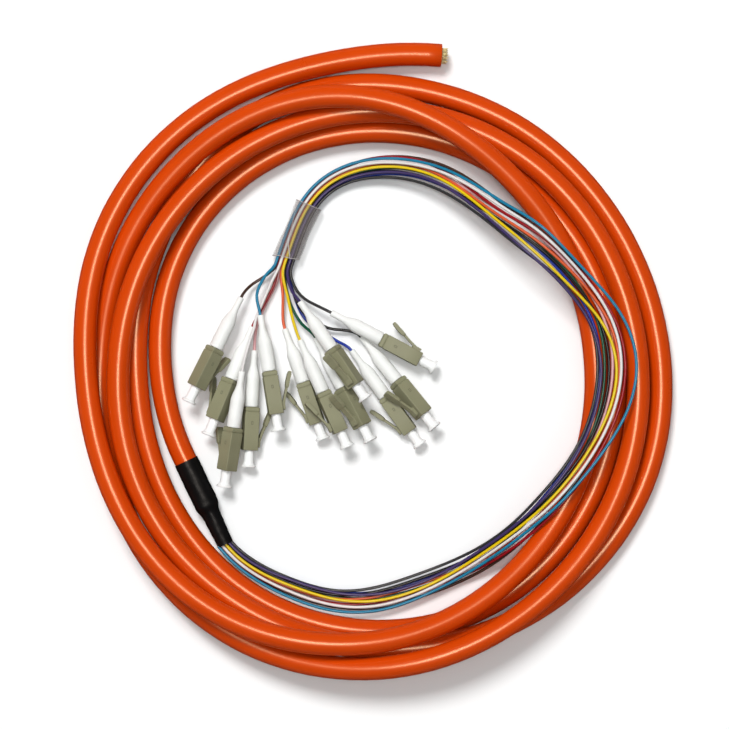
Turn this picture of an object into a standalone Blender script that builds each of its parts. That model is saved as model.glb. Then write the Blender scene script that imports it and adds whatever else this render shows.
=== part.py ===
"""Twelve-fibre pigtail: a coiled multi-fibre cable that fans out into twelve small-form plugs."""

import math

import bmesh
import bpy
import numpy as np
from mathutils import Euler, Matrix, Vector

MM = 0.001
PART_NAME = "multi_fibre_pigtail"

# The coil was drawn about its own middle; this moves the whole part's base centre to the origin
ORIGIN_SHIFT = (0.00070, -0.00095, -0.00012)

# Fits
GAP = 0.0003
MERGE = 0.00001

# Multi-fibre cable
CABLE_DIAMETER = 0.0070
CABLE_RING_RESOLUTION = 3
CABLE_STEP = 15.0
CABLE_END_STEP = 3.0
YARN_RECESS_DIAMETER = 0.0050
YARN_RECESS_DEPTH = 0.0030
YARN_STICK_OUT = 0.0020
YARN_SIDES = 12

# The coil's turns: screen angle in degrees, distance from the middle in mm, height in mm
CABLE_STATIONS = (
    (-28, 65.2, 4.0), (-20, 65.2, 3.8), (0, 65.8, 3.5), (20, 67.8, 3.5), (40, 69.6, 3.5),
    (60, 70.5, 3.5), (80, 70.7, 3.5), (100, 70.7, 3.5), (120, 70.8, 3.5), (140, 71.0, 3.5),
    (160, 71.8, 3.5), (180, 73.0, 3.5), (200, 75.3, 3.5), (220, 78.3, 3.5), (240, 80.9, 3.5),
    (260, 81.9, 3.5), (280, 81.4, 3.5), (300, 79.9, 3.7), (320, 77.0, 4.5), (340, 74.2, 5.5),
    (360, 73.1, 6.1), (380, 75.1, 5.2), (400, 78.6, 4.1), (420, 83.5, 3.6), (440, 85.1, 3.5),
    (460, 84.3, 3.5), (480, 83.9, 3.5), (500, 83.8, 3.5), (520, 84.6, 3.5), (540, 86.6, 3.5),
    (560, 89.0, 3.5), (580, 89.8, 3.9), (600, 89.2, 6.2), (620, 87.5, 8.5), (640, 85.7, 9.7),
    (660, 84.1, 10.4), (680, 82.6, 11.0), (700, 80.2, 11.6), (720, 77.9, 12.2),
    (740, 76.8, 12.5), (760, 76.3, 11.4), (780, 76.2, 9.9), (800, 76.3, 8.7), (820, 76.6, 8.0),
    (840, 76.8, 7.9), (860, 77.0, 8.1), (880, 77.6, 8.2), (900, 79.3, 8.4), (920, 81.9, 8.9),
    (940, 84.8, 11.1), (960, 87.8, 13.7), (980, 90.9, 15.2), (1000, 93.0, 12.4),
    (1020, 93.2, 8.6), (1040, 90.9, 5.1), (1060, 87.2, 3.6), (1080, 84.0, 3.9),
    (1100, 83.9, 6.4), (1120, 84.1, 9.3), (1140, 83.9, 12.1), (1160, 81.7, 14.3),
    (1180, 76.3, 15.5), (1200, 70.5, 13.5), (1220, 67.2, 10.8), (1240, 66.1, 8.3),
    (1260, 66.6, 7.3), (1280, 69.0, 7.5), (1300, 72.4, 8.3), (1320, 77.0, 11.2),
    (1340, 81.9, 14.7), (1360, 85.8, 17.2), (1380, 88.9, 16.2), (1400, 89.4, 14.2),
    (1420, 88.1, 12.4), (1440, 88.0, 11.0), (1460, 90.6, 9.6), (1480, 92.3, 8.3),
    (1500, 92.4, 6.9), (1520, 92.3, 5.6), (1542, 95.8, 4.1),
)

# Heat-shrink transition
TRANSITION_TIP = (-45.9 * MM, -55.3 * MM, 3.9 * MM)
TRANSITION_WIDE_DIAMETER = 0.0074
TRANSITION_NECK_DIAMETER = 0.0056
TRANSITION_TIP_DIAMETER = 0.0050
TRANSITION_WIDE_SHARE = 0.53
TRANSITION_NECK_SHARE = 0.62
TRANSITION_STEPS = 24

# Buffered fibres
FIBRE_DIAMETER = 0.0009
FIBRE_RING_RESOLUTION = 2
FIBRE_ROWS = 3
FIBRE_ROW_PITCH = 0.00105
FIBRE_ANGLE_STEP = 10.0
FAN_STEPS = 4

# The bundle: screen angle in degrees, distance and height in mm, sideways pitch in mm
BUNDLE_STATIONS = (
    (309.7, 71.9, 3.9, 0.35), (306, 72.6, 3.8, 0.37), (300, 73.1, 3.4, 0.42),
    (290, 73.2, 2.7, 0.50), (280, 73.4, 2.3, 0.55), (270, 72.2, 2.2, 0.60),
    (260, 69.9, 2.2, 0.60), (250, 68.2, 2.8, 0.60), (240, 67.2, 5.4, 0.60),
    (230, 66.7, 10.2, 0.60), (220, 66.9, 13.3, 0.65), (210, 67.8, 14.0, 0.65),
    (200, 69.2, 13.7, 0.70), (190, 70.7, 13.3, 0.85), (180, 71.3, 13.1, 0.95),
    (170, 69.8, 13.3, 0.90), (160, 66.3, 14.1, 0.80), (150, 62.9, 15.3, 0.75),
    (140, 60.3, 15.6, 0.75), (130, 58.7, 13.5, 0.65), (120, 58.9, 10.3, 0.65),
    (110, 60.0, 7.4, 0.65), (100, 60.5, 5.2, 0.60), (90, 59.9, 3.9, 0.55),
    (80, 58.1, 3.0, 0.48), (70.2, 54.3, 2.7, 0.44), (60.0, 48.0, 2.7, 0.44),
    (52.0, 43.4, 2.7, 0.44), (46.4, 41.0, 2.7, 0.44),
)
BUNDLE_ORDER = (
    "aqua", "brown", "red", "white", "rose", "orange",
    "yellow", "green", "black", "violet", "blue", "slate",
)

# How far each fibre strays outwards from its place in the bundle, in mm at these screen angles
SWAY_ANGLES = (311, 302, 285, 260, 240, 220, 200, 180, 160, 140, 120, 100, 80, 60, 46)
FIBRE_SWAYS = {
    "aqua": (0, 0, 0.2, -0.4, -1.6, -1.2, 0.8, 2.0, -0.4, -0.1, -0.8, -1.2, -0.3, 0, 0),
    "brown": (0, 0, -0.3, 0.2, 0.9, -0.2, -0.8, -1.2, -0.6, -0.3, 0.3, 0.4, 0, 0, 0),
    "red": (0, 0, -0.5, -1.2, 0.6, 1.0, 1.2, 0.6, 0, -1.0, -1.4, 0.5, 0.3, 0, 0),
    "white": (0, 0, 0.1, 0.2, -1.2, -0.6, 0.4, 0.3, 0.3, 0.5, 0, -0.6, 0, 0, 0),
    "rose": (0, 0, -0.4, 0.8, 1.2, 0.4, -0.4, -1.2, -0.2, 0.3, -0.6, -0.3, 0, 0, 0),
    "orange": (0, 0, -0.3, -1.2, 0.4, 0.3, 1.6, 1.6, 0.4, -0.6, -1.0, 0.4, 0.2, 0, 0),
    "yellow": (0, 0, -0.2, 0.8, -0.6, 0, 1.0, 1.6, -2.0, -2.6, -1.2, -0.2, 0, 0, 0),
    "green": (0, 0, -0.2, 1.2, 1.2, 0.2, 0.2, -0.8, 0.6, 0.7, 0, 0.3, 0, 0, 0),
    "black": (0, 0, 0, -1.0, 0.2, 0.2, 1.2, 1.4, 1.0, 0.4, -0.6, -0.4, 0, 0, 0),
    "violet": (0, 0, -0.5, 0.9, 0, 0.3, 0.2, -0.2, -1.3, -1.9, -0.5, 0, 0, 0, 0),
    "blue": (0, 0, 0, 1.0, 1.4, 0.8, 0.4, 0.6, 1.4, 1.4, 0.8, 0.3, 0, 0, 0),
    "slate": (0, 0, 0.3, -0.6, 0.4, 0.3, 0.6, 0.8, 0.8, -0.8, -0.4, -0.5, 0, 0, 0),
}

# Where each fibre runs between the sleeve and its boot, in mm
FAN_ROUTES = {
    "brown": ((-33.4, 26.9, 2.2), (-38.3, 23.6, 2.6)),
    "red": ((-31.0, 24.4, 2.4), (-33.9, 18.4, 2.5)),
    "white": ((-32.1, 24.2, 3.6), (-35.2, 17.0, 3.75), (-36.6, 13.6, 4.1), (-37.1, 10.9, 5.0), (-39.0, 4.8, 6.4)),
    "rose": ((-30.6, 24.2, 1.4), (-34.4, 16.5, 1.4), (-36.7, 10.0, 2.2)),
    "aqua": ((-34.0, 26.2, 4.5), (-36.3, 20.8, 5.2)),
    "orange": ((-28.4, 20.0, 2.6),),
    "yellow": ((-26.9, 20.0, 4.3),),
    "green": ((-26.6, 19.5, 2.1), (-23.2, 12.6, 2.7)),
    "violet": ((-25.9, 22.5, 5.6),),
    "blue": ((-25.1, 21.0, 1.6), (-21.4, 13.2, 1.6), (-12.6, 7.1, 2.0)),
    "black": ((-24.9, 20.6, 3.2), (-22.2, 15.5, 3.0), (-15.0, 10.8, 2.6)),
    "slate": ((-24.8, 23.2, 3.0), (-21.4, 19.3, 3.6)),
}

# Clear film sleeve
FILM_HALF_WIDTH = 0.0038
FILM_HALF_HEIGHT = 0.0020
FILM_WALL = 0.0003
FILM_SIDES = 16
FILM_SQUARENESS = 0.5
FILM_START_ANGLE = 67.0
FILM_END_ANGLE = 49.5

# Plug housing with its latch arm
HOUSING_LENGTH = 0.0132
HOUSING_WIDTH = 0.0045
HOUSING_EDGE = 0.00025
MOUTH_DIAMETER = 0.0036
MOUTH_DEPTH = 0.0036
FERRULE_DIAMETER = 0.00125
LATCH_ROOT_START = 0.0093
LATCH_ROOT_LENGTH = 0.0028
LATCH_ROOT_HEIGHT = 0.0009
LATCH_ROOT_SINK = 0.0003
LATCH_ROOT_WIDTH = 0.0022
LATCH_ANGLE = 21.0
LATCH_ARM_LENGTH = 0.0099
LATCH_ARM_THICKNESS = 0.00075
LATCH_ARM_WIDTH = 0.0018
LATCH_TAB_LENGTH = 0.0050
LATCH_TAB_THICKNESS = 0.0012
LATCH_TAB_WIDTH = 0.0026

# Strain-relief boot
BOOT_LENGTH = 0.0170
BOOT_TIP_LENGTH = 0.0040
BOOT_TIP_DIAMETER = 0.0020
BOOT_DIAMETER = 0.0043
BOOT_FLARE_LENGTH = 0.0048
BOOT_BORE_DEPTH = 0.0040
FIBRE_SEATING = 0.0035
PLUG_STEPS = 14

# Dust cap
CAP_DIAMETER = 0.0030
CAP_INSIDE = 0.0030
CAP_OUTSIDE = 0.0052
CAP_FLANGE_DIAMETER = 0.0045
CAP_FLANGE_THICKNESS = 0.0006
CAP_FLARE_LENGTH = 0.0008
CAP_BORE_DEPTH = 0.0036

# The plugs from left to right: colour, housing's back in mm, roll, pitch and heading in degrees
PLUGS = (
    ("brown", (-48.8, 4.5, 6.1), (-131, -3, -116.5)),
    ("red", (-44.2, -5.0, 4.5), (118, -4, -112)),
    ("white", (-43.4, -19.6, 6.5), (135, 3, -99)),
    ("rose", (-38.0, -13.4, 3.2), (-105, 0, -93)),
    ("aqua", (-32.5, -2.5, 5.7), (-98, -1, -81)),
    ("orange", (-22.2, -5.9, 2.6), (95, 0, -71)),
    ("yellow", (-16.2, -8.8, 6.2), (80, 0, -66)),
    ("green", (-10.3, -7.5, 5.4), (40, -4, -62)),
    ("violet", (-13.5, 4.3, 8.8), (25, -2, -56)),
    ("blue", (2.7, -10.2, 2.6), (95, 0, -54)),
    ("black", (6.35, -5.45, 3.8), (55, -5, -51)),
    ("slate", (1.6, 7.2, 4.7), (-92, 2, -28)),
)

# Finishes: base colour, roughness
FINISHES = {
    "jacket": ((0.84, 0.14, 0.01, 1.0), 0.30),
    "yarn": ((0.85, 0.78, 0.48, 1.0), 0.80),
    "heat_shrink": ((0.015, 0.015, 0.015, 1.0), 0.45),
    "film": ((0.75, 0.75, 0.75, 1.0), 0.25),
    "housing": ((0.28, 0.26, 0.17, 1.0), 0.45),
    "white_plastic": ((0.86, 0.86, 0.84, 1.0), 0.40),
    "fibre_blue": ((0.01, 0.06, 0.45, 1.0), 0.35),
    "fibre_orange": ((0.85, 0.18, 0.06, 1.0), 0.35),
    "fibre_green": ((0.01, 0.14, 0.07, 1.0), 0.35),
    "fibre_brown": ((0.08, 0.03, 0.02, 1.0), 0.35),
    "fibre_slate": ((0.08, 0.08, 0.08, 1.0), 0.35),
    "fibre_white": ((0.85, 0.83, 0.82, 1.0), 0.35),
    "fibre_red": ((0.35, 0.01, 0.02, 1.0), 0.35),
    "fibre_black": ((0.01, 0.01, 0.01, 1.0), 0.35),
    "fibre_yellow": ((0.85, 0.65, 0.02, 1.0), 0.35),
    "fibre_violet": ((0.14, 0.09, 0.26, 1.0), 0.35),
    "fibre_rose": ((0.85, 0.45, 0.48, 1.0), 0.35),
    "fibre_aqua": ((0.02, 0.38, 0.60, 1.0), 0.35),
}


def clear_scene():
    """Remove every object that the scene starts with."""
    for item in list(bpy.data.objects):
        bpy.data.objects.remove(item, do_unlink=True)


def make_collection(name):
    """Add a collection to the scene."""
    group = bpy.data.collections.new(name)
    bpy.context.scene.collection.children.link(group)
    return group


def finish(name):
    """Return the Principled material of a finish, made once."""
    material = bpy.data.materials.get(name)
    if material is None:
        colour, roughness = FINISHES[name]
        material = bpy.data.materials.new(name)
        material.use_nodes = True
        shader = material.node_tree.nodes["Principled BSDF"]
        shader.inputs["Base Color"].default_value = colour
        shader.inputs["Roughness"].default_value = roughness
    return material


def add_object(name, data, group, material=None):
    """Link an object with its data and its finish."""
    item = bpy.data.objects.new(name, data)
    group.objects.link(item)
    if material is not None:
        data.materials.append(finish(material))
    return item


def smooth_through(stations, wanted):
    """Read a natural cubic curve through the stations at the wanted places."""
    table = np.array(stations, dtype=float)
    place = table[:, 0]
    value = table[:, 1:]
    count = len(place)
    step = np.diff(place)
    left = np.eye(count)
    right = np.zeros_like(value)
    for i in range(1, count - 1):
        left[i, i - 1] = step[i - 1]
        left[i, i] = 2.0 * (step[i - 1] + step[i])
        left[i, i + 1] = step[i]
        slope_after = (value[i + 1] - value[i]) / step[i]
        slope_before = (value[i] - value[i - 1]) / step[i - 1]
        right[i] = 6.0 * (slope_after - slope_before)
    bend = np.linalg.solve(left, right)
    wanted = np.asarray(wanted, dtype=float)
    k = np.clip(np.searchsorted(place, wanted, side="right") - 1, 0, count - 2)
    h = step[k][:, None]
    past = (wanted - place[k])[:, None]
    ahead = (place[k + 1] - wanted)[:, None]
    curved = (bend[k] * ahead**3 + bend[k + 1] * past**3) / (6.0 * h)
    straight = (value[k] / h - bend[k] * h / 6.0) * ahead
    return curved + straight + (value[k + 1] / h - bend[k + 1] * h / 6.0) * past


def on_ring(angle, radius, height):
    """Turn a screen angle in degrees and a distance and height in mm into a point."""
    turn = math.radians(angle)
    return Vector((-radius * math.cos(turn), radius * math.sin(turn), height)) * MM


def tube_curve(name, points, diameter, resolution, group, material):
    """Make a round tube with closed ends along straight steps."""
    curve = bpy.data.curves.new(name, "CURVE")
    curve.dimensions = "3D"
    curve.render_resolution_u = 0
    curve.bevel_depth = diameter / 2
    curve.bevel_resolution = resolution
    curve.use_fill_caps = True
    line = curve.splines.new("POLY")
    line.points.add(len(points) - 1)
    for place, spot in zip(line.points, points):
        place.co = (*spot, 1.0)
    return add_object(name, curve, group, material)


def mesh_from(item, name):
    """Take an object's finished shape as a mesh with its seams closed."""
    depsgraph = bpy.context.evaluated_depsgraph_get()
    mesh = bpy.data.meshes.new_from_object(item.evaluated_get(depsgraph))
    mesh.name = name
    shape = bmesh.new()
    shape.from_mesh(mesh)
    bmesh.ops.remove_doubles(shape, verts=shape.verts, dist=MERGE)
    bmesh.ops.recalc_face_normals(shape, faces=shape.faces)
    shape.to_mesh(mesh)
    shape.free()
    return mesh


def turned(name, profile, steps, group, material=None):
    """Spin a profile of radius and height pairs around Z with a Screw modifier."""
    mesh = bpy.data.meshes.new(name)
    rows = [(radius, 0.0, height) for radius, height in profile]
    closed = profile[0][0] > 0.0
    edges = [(i, i + 1) for i in range(len(rows) - 1)]
    if closed:
        edges.append((len(rows) - 1, 0))
    mesh.from_pydata(rows, edges, [])
    item = add_object(name, mesh, group, material)
    spin = item.modifiers.new("Spin", "SCREW")
    spin.steps = steps
    spin.render_steps = steps
    spin.use_merge_vertices = True
    spin.merge_threshold = MERGE
    return item


def box(name, low, high, group, edge=0.0):
    """Make a box between two corners, with its edges bevelled if asked."""
    mesh = bpy.data.meshes.new(name)
    shape = bmesh.new()
    size = Vector(high) - Vector(low)
    middle = (Vector(high) + Vector(low)) / 2
    place = Matrix.Translation(middle) @ Matrix.Diagonal(size.to_4d())
    bmesh.ops.create_cube(shape, size=1.0, matrix=place)
    if edge > 0.0:
        bmesh.ops.bevel(shape, geom=shape.edges, offset=edge, segments=1, affect="EDGES")
    shape.to_mesh(mesh)
    shape.free()
    return add_object(name, mesh, group)


def combine(item, other, operation):
    """Join or cut an object with another by a Boolean."""
    step = item.modifiers.new(other.name, "BOOLEAN")
    step.solver = "EXACT"
    step.operation = operation
    step.object = other


def as_cutter(item):
    """Show an object as a wire tool that is never rendered."""
    item.hide_render = True
    item.display_type = "WIRE"
    return item


def plug_matrix(plug):
    """Return the place of a plug: X runs to the mating end and Z is the latch side."""
    place = Vector(plug[1]) * MM
    turn = Euler([math.radians(angle) for angle in plug[2]], "XYZ")
    return Matrix.Translation(place) @ turn.to_matrix().to_4x4()


def along_plug(plug, distance):
    """Return the place of a piece turned around Z that lies along the plug's axis."""
    shift = Matrix.Translation((distance, 0.0, 0.0))
    return plug_matrix(plug) @ shift @ Matrix.Rotation(math.radians(90.0), 4, "Y")


def cable_points():
    """Return the points of the cable's middle line, at the same angles on each turn."""
    first = CABLE_STATIONS[0][0]
    last = CABLE_STATIONS[-1][0]
    count_from = math.ceil(first / CABLE_STEP + MERGE)
    count_to = math.ceil(last / CABLE_STEP)
    inner = [i * CABLE_STEP for i in range(count_from, count_to)]
    angles = [first, first + CABLE_END_STEP, *inner, last - CABLE_END_STEP, last]
    rows = smooth_through(CABLE_STATIONS, angles)
    return [on_ring(angle, *row) for angle, row in zip(angles, rows)]


def make_cable(parts, cutters):
    """Make the jacket with its cut end, and the yarn that stands out of it."""
    points = cable_points()
    line = tube_curve("jacket_line", points, CABLE_DIAMETER, CABLE_RING_RESOLUTION, cutters, None)
    mesh = mesh_from(line, "jacket")
    bpy.data.objects.remove(line, do_unlink=True)
    jacket = add_object("jacket", mesh, parts, "jacket")
    ahead = (points[-1] - points[-2]).normalized()
    lean = ahead.to_track_quat("Z", "Y").to_matrix().to_4x4()
    inside = YARN_RECESS_DEPTH
    radius = YARN_RECESS_DIAMETER / 2
    hole = turned(
        "jacket_recess",
        ((0.0, inside), (radius, inside), (radius, -inside), (0.0, -inside)),
        YARN_SIDES,
        cutters,
    )
    hole.matrix_world = Matrix.Translation(points[-1]) @ lean
    combine(jacket, as_cutter(hole), "DIFFERENCE")
    radius = YARN_RECESS_DIAMETER / 2 - GAP
    start = GAP - inside
    yarn = turned(
        "aramid_yarn",
        ((0.0, YARN_STICK_OUT), (radius, YARN_STICK_OUT), (radius, start), (0.0, start)),
        YARN_SIDES,
        parts,
        "yarn",
    )
    yarn.matrix_world = Matrix.Translation(points[-1]) @ lean


def make_transition(parts):
    """Make the heat-shrink piece from the cable's inner end to the fibres."""
    start, following = cable_points()[:2]
    tip = Vector(TRANSITION_TIP)
    start = start + (start - following).normalized() * GAP
    ahead = tip - start
    length = ahead.length
    wide = TRANSITION_WIDE_DIAMETER / 2
    neck = TRANSITION_NECK_DIAMETER / 2
    profile = (
        (0.0, length),
        (TRANSITION_TIP_DIAMETER / 2, length),
        (neck, length * TRANSITION_NECK_SHARE),
        (wide, length * TRANSITION_WIDE_SHARE),
        (wide, 0.0),
        (0.0, 0.0),
    )
    piece = turned("heat_shrink_transition", profile, TRANSITION_STEPS, parts, "heat_shrink")
    lean = ahead.to_track_quat("Z", "Y").to_matrix().to_4x4()
    piece.matrix_world = Matrix.Translation(start) @ lean


def bundle_angles():
    """Return the screen angles of the bundle's points, from the transition to the sleeve's end."""
    first = BUNDLE_STATIONS[0][0]
    last = BUNDLE_STATIONS[-1][0]
    steps = math.ceil((first - last) / FIBRE_ANGLE_STEP)
    return np.linspace(first, last, steps + 1)


def bundle_frames():
    """Return the bundle's middle points, outward sides and sideways pitches."""
    angles = bundle_angles()
    rows = smooth_through(sorted(BUNDLE_STATIONS), angles)
    middle = [on_ring(angle, row[0], row[1]) for angle, row in zip(angles, rows)]
    start_side = Vector(TRANSITION_TIP) - (cable_points()[0])
    frames = []
    for i, point in enumerate(middle):
        if i == 0:
            ahead = start_side
        elif i == len(middle) - 1:
            ahead = point - middle[i - 1]
        else:
            ahead = middle[i + 1] - middle[i - 1]
        outward = Vector((ahead.y, -ahead.x, 0.0)).normalized()
        frames.append((point, outward, rows[i][2] * MM))
    return frames


def fan_points(begin, leave, vias, tip, arrive):
    """Return a smooth run from the sleeve through the chosen places to a boot's tip."""
    places = [begin, *vias, tip]
    pulls = [leave * (places[1] - begin).length]
    for i in range(1, len(places) - 1):
        across = (places[i + 1] - places[i - 1]).normalized()
        pulls.append(across * min((places[i + 1] - places[i]).length, (places[i] - places[i - 1]).length))
    pulls.append(arrive * (tip - places[-2]).length)
    points = []
    for i in range(len(places) - 1):
        for step in range(1, FAN_STEPS + 1):
            t = step / FAN_STEPS
            spot = places[i] * (2 * t**3 - 3 * t**2 + 1) + places[i + 1] * (3 * t**2 - 2 * t**3)
            points.append(spot + pulls[i] * (t**3 - 2 * t**2 + t) + pulls[i + 1] * (t**3 - t**2))
    return points


def fibre_points(plug):
    """Return the route of one fibre from the transition into its boot."""
    slot = BUNDLE_ORDER.index(plug[0])
    shift = (slot + FIBRE_ROWS - 1) % FIBRE_ROWS - (FIBRE_ROWS - 1) / 2
    frames = bundle_frames()
    sways = smooth_through(sorted(zip(SWAY_ANGLES, FIBRE_SWAYS[plug[0]])), bundle_angles())
    points = []
    for (middle, outward, pitch), sway in zip(frames, sways[:, 0] * MM):
        aside = ((len(PLUGS) - 1) / 2 - slot) * pitch + sway
        points.append(middle + outward * aside + Vector((0.0, 0.0, shift * FIBRE_ROW_PITCH)))
    start_ahead = (Vector(TRANSITION_TIP) - cable_points()[0]).normalized()
    points[0] = points[0] + start_ahead * GAP
    leave = (frames[-1][0] - frames[-2][0]).normalized()
    place = plug_matrix(plug)
    arrive = place.to_3x3() @ Vector((1.0, 0.0, 0.0))
    back = -GAP - BOOT_LENGTH
    tip = place @ Vector((back, 0.0, 0.0))
    vias = [Vector(spot) * MM for spot in FAN_ROUTES[plug[0]]]
    points += fan_points(points[-1], leave, vias, tip, arrive)
    points.append(place @ Vector((back + FIBRE_SEATING, 0.0, 0.0)))
    return points


def make_film(parts):
    """Make the clear film sleeve around the bundle."""
    stations = sorted(BUNDLE_STATIONS)
    ends = (FILM_START_ANGLE, FILM_END_ANGLE)
    rows = smooth_through(stations, ends)
    start, end = (on_ring(angle, row[0], row[1]) for angle, row in zip(ends, rows))
    ahead = end - start
    mesh = bpy.data.meshes.new("film_sleeve")
    shape = bmesh.new()
    ring = bmesh.ops.create_circle(shape, segments=FILM_SIDES, radius=1.0)["verts"]
    for spot in ring:
        spot.co.x = math.copysign(abs(spot.co.x) ** FILM_SQUARENESS, spot.co.x) * FILM_HALF_HEIGHT
        spot.co.y = math.copysign(abs(spot.co.y) ** FILM_SQUARENESS, spot.co.y) * FILM_HALF_WIDTH
    drawn = bmesh.ops.extrude_edge_only(shape, edges=shape.edges)["geom"]
    moved = [part for part in drawn if isinstance(part, bmesh.types.BMVert)]
    bmesh.ops.translate(shape, verts=moved, vec=(0.0, 0.0, ahead.length))
    bmesh.ops.recalc_face_normals(shape, faces=shape.faces)
    shape.to_mesh(mesh)
    shape.free()
    sleeve = add_object("film_sleeve", mesh, parts, "film")
    wall = sleeve.modifiers.new("Wall", "SOLIDIFY")
    wall.thickness = FILM_WALL
    wall.offset = 1.0
    heading = math.atan2(ahead.y, ahead.x)
    sleeve.location = start
    sleeve.rotation_euler = (0.0, math.radians(90.0), heading)


def housing_mesh(cutters):
    """Shape the plug housing, its latch arm, its mouth and its ferrule once."""
    half = HOUSING_WIDTH / 2
    body = box("housing_body", (0.0, -half, -half), (HOUSING_LENGTH, half, half), cutters, HOUSING_EDGE)
    root_width = LATCH_ROOT_WIDTH / 2
    root_end = LATCH_ROOT_START + LATCH_ROOT_LENGTH
    root_top = half + LATCH_ROOT_HEIGHT
    root = box(
        "latch_root",
        (LATCH_ROOT_START, -root_width, half - LATCH_ROOT_SINK),
        (root_end, root_width, root_top),
        cutters,
    )
    arm_width = LATCH_ARM_WIDTH / 2
    arm = box(
        "latch_arm",
        (-LATCH_ARM_LENGTH, -arm_width, 0.0),
        (LATCH_ARM_THICKNESS, arm_width, LATCH_ARM_THICKNESS),
        cutters,
    )
    tab_width = LATCH_TAB_WIDTH / 2
    tab = box(
        "latch_tab",
        (-LATCH_ARM_LENGTH - MERGE, -tab_width, -MERGE),
        (LATCH_TAB_LENGTH - LATCH_ARM_LENGTH, tab_width, LATCH_TAB_THICKNESS),
        cutters,
    )
    hinge = (LATCH_ROOT_START + LATCH_ARM_THICKNESS, 0.0, root_top - LATCH_ARM_THICKNESS - MERGE)
    for piece in (arm, tab):
        piece.location = hinge
        piece.rotation_euler = (0.0, math.radians(LATCH_ANGLE), 0.0)
    mouth = MOUTH_DIAMETER / 2
    pin = FERRULE_DIAMETER / 2
    ring = turned(
        "mouth_ring",
        ((pin, MOUTH_DEPTH), (mouth, MOUTH_DEPTH), (mouth, -MOUTH_DEPTH), (pin, -MOUTH_DEPTH)),
        PLUG_STEPS,
        cutters,
    )
    ring.location = (HOUSING_LENGTH, 0.0, 0.0)
    ring.rotation_euler = (0.0, math.radians(90.0), 0.0)
    for piece in (root, arm, tab):
        combine(body, piece, "UNION")
    combine(body, ring, "DIFFERENCE")
    mesh = mesh_from(body, "plug_housing")
    for piece in (body, root, arm, tab, ring):
        bpy.data.objects.remove(piece, do_unlink=True)
    return mesh


def boot_profile():
    """Return the boot's outline from its front to its tip and up its blind bore."""
    full = BOOT_DIAMETER / 2
    tip = BOOT_TIP_DIAMETER / 2
    bore = FIBRE_DIAMETER / 2 + GAP
    flare_start = -BOOT_LENGTH + BOOT_TIP_LENGTH
    flare_end = flare_start + BOOT_FLARE_LENGTH
    middle = (flare_start + flare_end) / 2
    return (
        (0.0, 0.0),
        (full, 0.0),
        (full, flare_end),
        ((full + tip) / 2, middle),
        (tip, flare_start),
        (tip, -BOOT_LENGTH),
        (bore, -BOOT_LENGTH),
        (bore, BOOT_BORE_DEPTH - BOOT_LENGTH),
        (0.0, BOOT_BORE_DEPTH - BOOT_LENGTH),
    )


def cap_profile():
    """Return the dust cap's outline from its closed end to its inside bore."""
    body = CAP_DIAMETER / 2
    flange = CAP_FLANGE_DIAMETER / 2
    end = CAP_INSIDE + CAP_OUTSIDE
    bore = FERRULE_DIAMETER / 2 + GAP
    flange_back = end - CAP_FLANGE_THICKNESS
    return (
        (0.0, end),
        (flange, end),
        (flange, flange_back),
        (body, flange_back - CAP_FLARE_LENGTH),
        (body, 0.0),
        (bore, 0.0),
        (bore, CAP_BORE_DEPTH),
        (0.0, CAP_BORE_DEPTH),
    )


def make_plugs(parts, cutters):
    """Make every fibre with its boot, plug housing and dust cap."""
    housing = housing_mesh(cutters)
    for plug in PLUGS:
        colour = plug[0]
        tube_curve(
            f"fibre_{colour}",
            fibre_points(plug),
            FIBRE_DIAMETER,
            FIBRE_RING_RESOLUTION,
            parts,
            f"fibre_{colour}",
        )
        body = add_object(f"plug_{colour}", housing.copy(), parts, "housing")
        body.matrix_world = plug_matrix(plug)
        boot = turned(f"boot_{colour}", boot_profile(), PLUG_STEPS, parts, "white_plastic")
        boot.matrix_world = along_plug(plug, -GAP)
        cap = turned(f"cap_{colour}", cap_profile(), PLUG_STEPS, parts, "white_plastic")
        cap.matrix_world = along_plug(plug, HOUSING_LENGTH - CAP_INSIDE)
    bpy.data.meshes.remove(housing)


def set_origin(parts, cutters):
    """Hang every piece on one empty that carries the part's origin."""
    base = bpy.data.objects.new("pigtail_origin", None)
    for item in [*parts.objects, *cutters.objects]:
        item.parent = base
    parts.objects.link(base)
    base.location = ORIGIN_SHIFT


def main():
    """Build the whole pigtail."""
    clear_scene()
    parts = make_collection(PART_NAME)
    cutters = make_collection("cutters")
    make_cable(parts, cutters)
    make_transition(parts)
    make_film(parts)
    make_plugs(parts, cutters)
    set_origin(parts, cutters)


main()
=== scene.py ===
"""Dresses a coiled twelve-fibre pigtail: cable, transition, fibres, sleeve, plugs, boots and dust caps."""

import logging
import math
from dataclasses import dataclass, field
from enum import Enum

import bpy
import numpy as np
from bpy.types import ID, Material, NodeSocket, Object, World
from mathutils import Euler, Matrix, Vector
from numpy import ndarray


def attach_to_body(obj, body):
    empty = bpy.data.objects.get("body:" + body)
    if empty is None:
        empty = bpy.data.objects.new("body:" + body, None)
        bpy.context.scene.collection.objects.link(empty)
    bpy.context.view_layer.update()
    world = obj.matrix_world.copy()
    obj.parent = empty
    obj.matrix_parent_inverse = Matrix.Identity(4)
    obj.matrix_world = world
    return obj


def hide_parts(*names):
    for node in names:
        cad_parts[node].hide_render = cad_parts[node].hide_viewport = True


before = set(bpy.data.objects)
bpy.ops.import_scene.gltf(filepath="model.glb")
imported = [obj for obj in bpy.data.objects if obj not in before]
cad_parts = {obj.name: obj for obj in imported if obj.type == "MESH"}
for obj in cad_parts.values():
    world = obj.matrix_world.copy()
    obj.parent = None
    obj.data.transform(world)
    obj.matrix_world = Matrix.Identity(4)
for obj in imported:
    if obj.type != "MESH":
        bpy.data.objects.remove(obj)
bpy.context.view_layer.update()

LOG = logging.getLogger("pigtail")
MM = 0.001
ORIGIN_SHIFT = np.array((0.00070, -0.00095, -0.00012))
MAIN_BODY = "pigtail"
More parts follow.
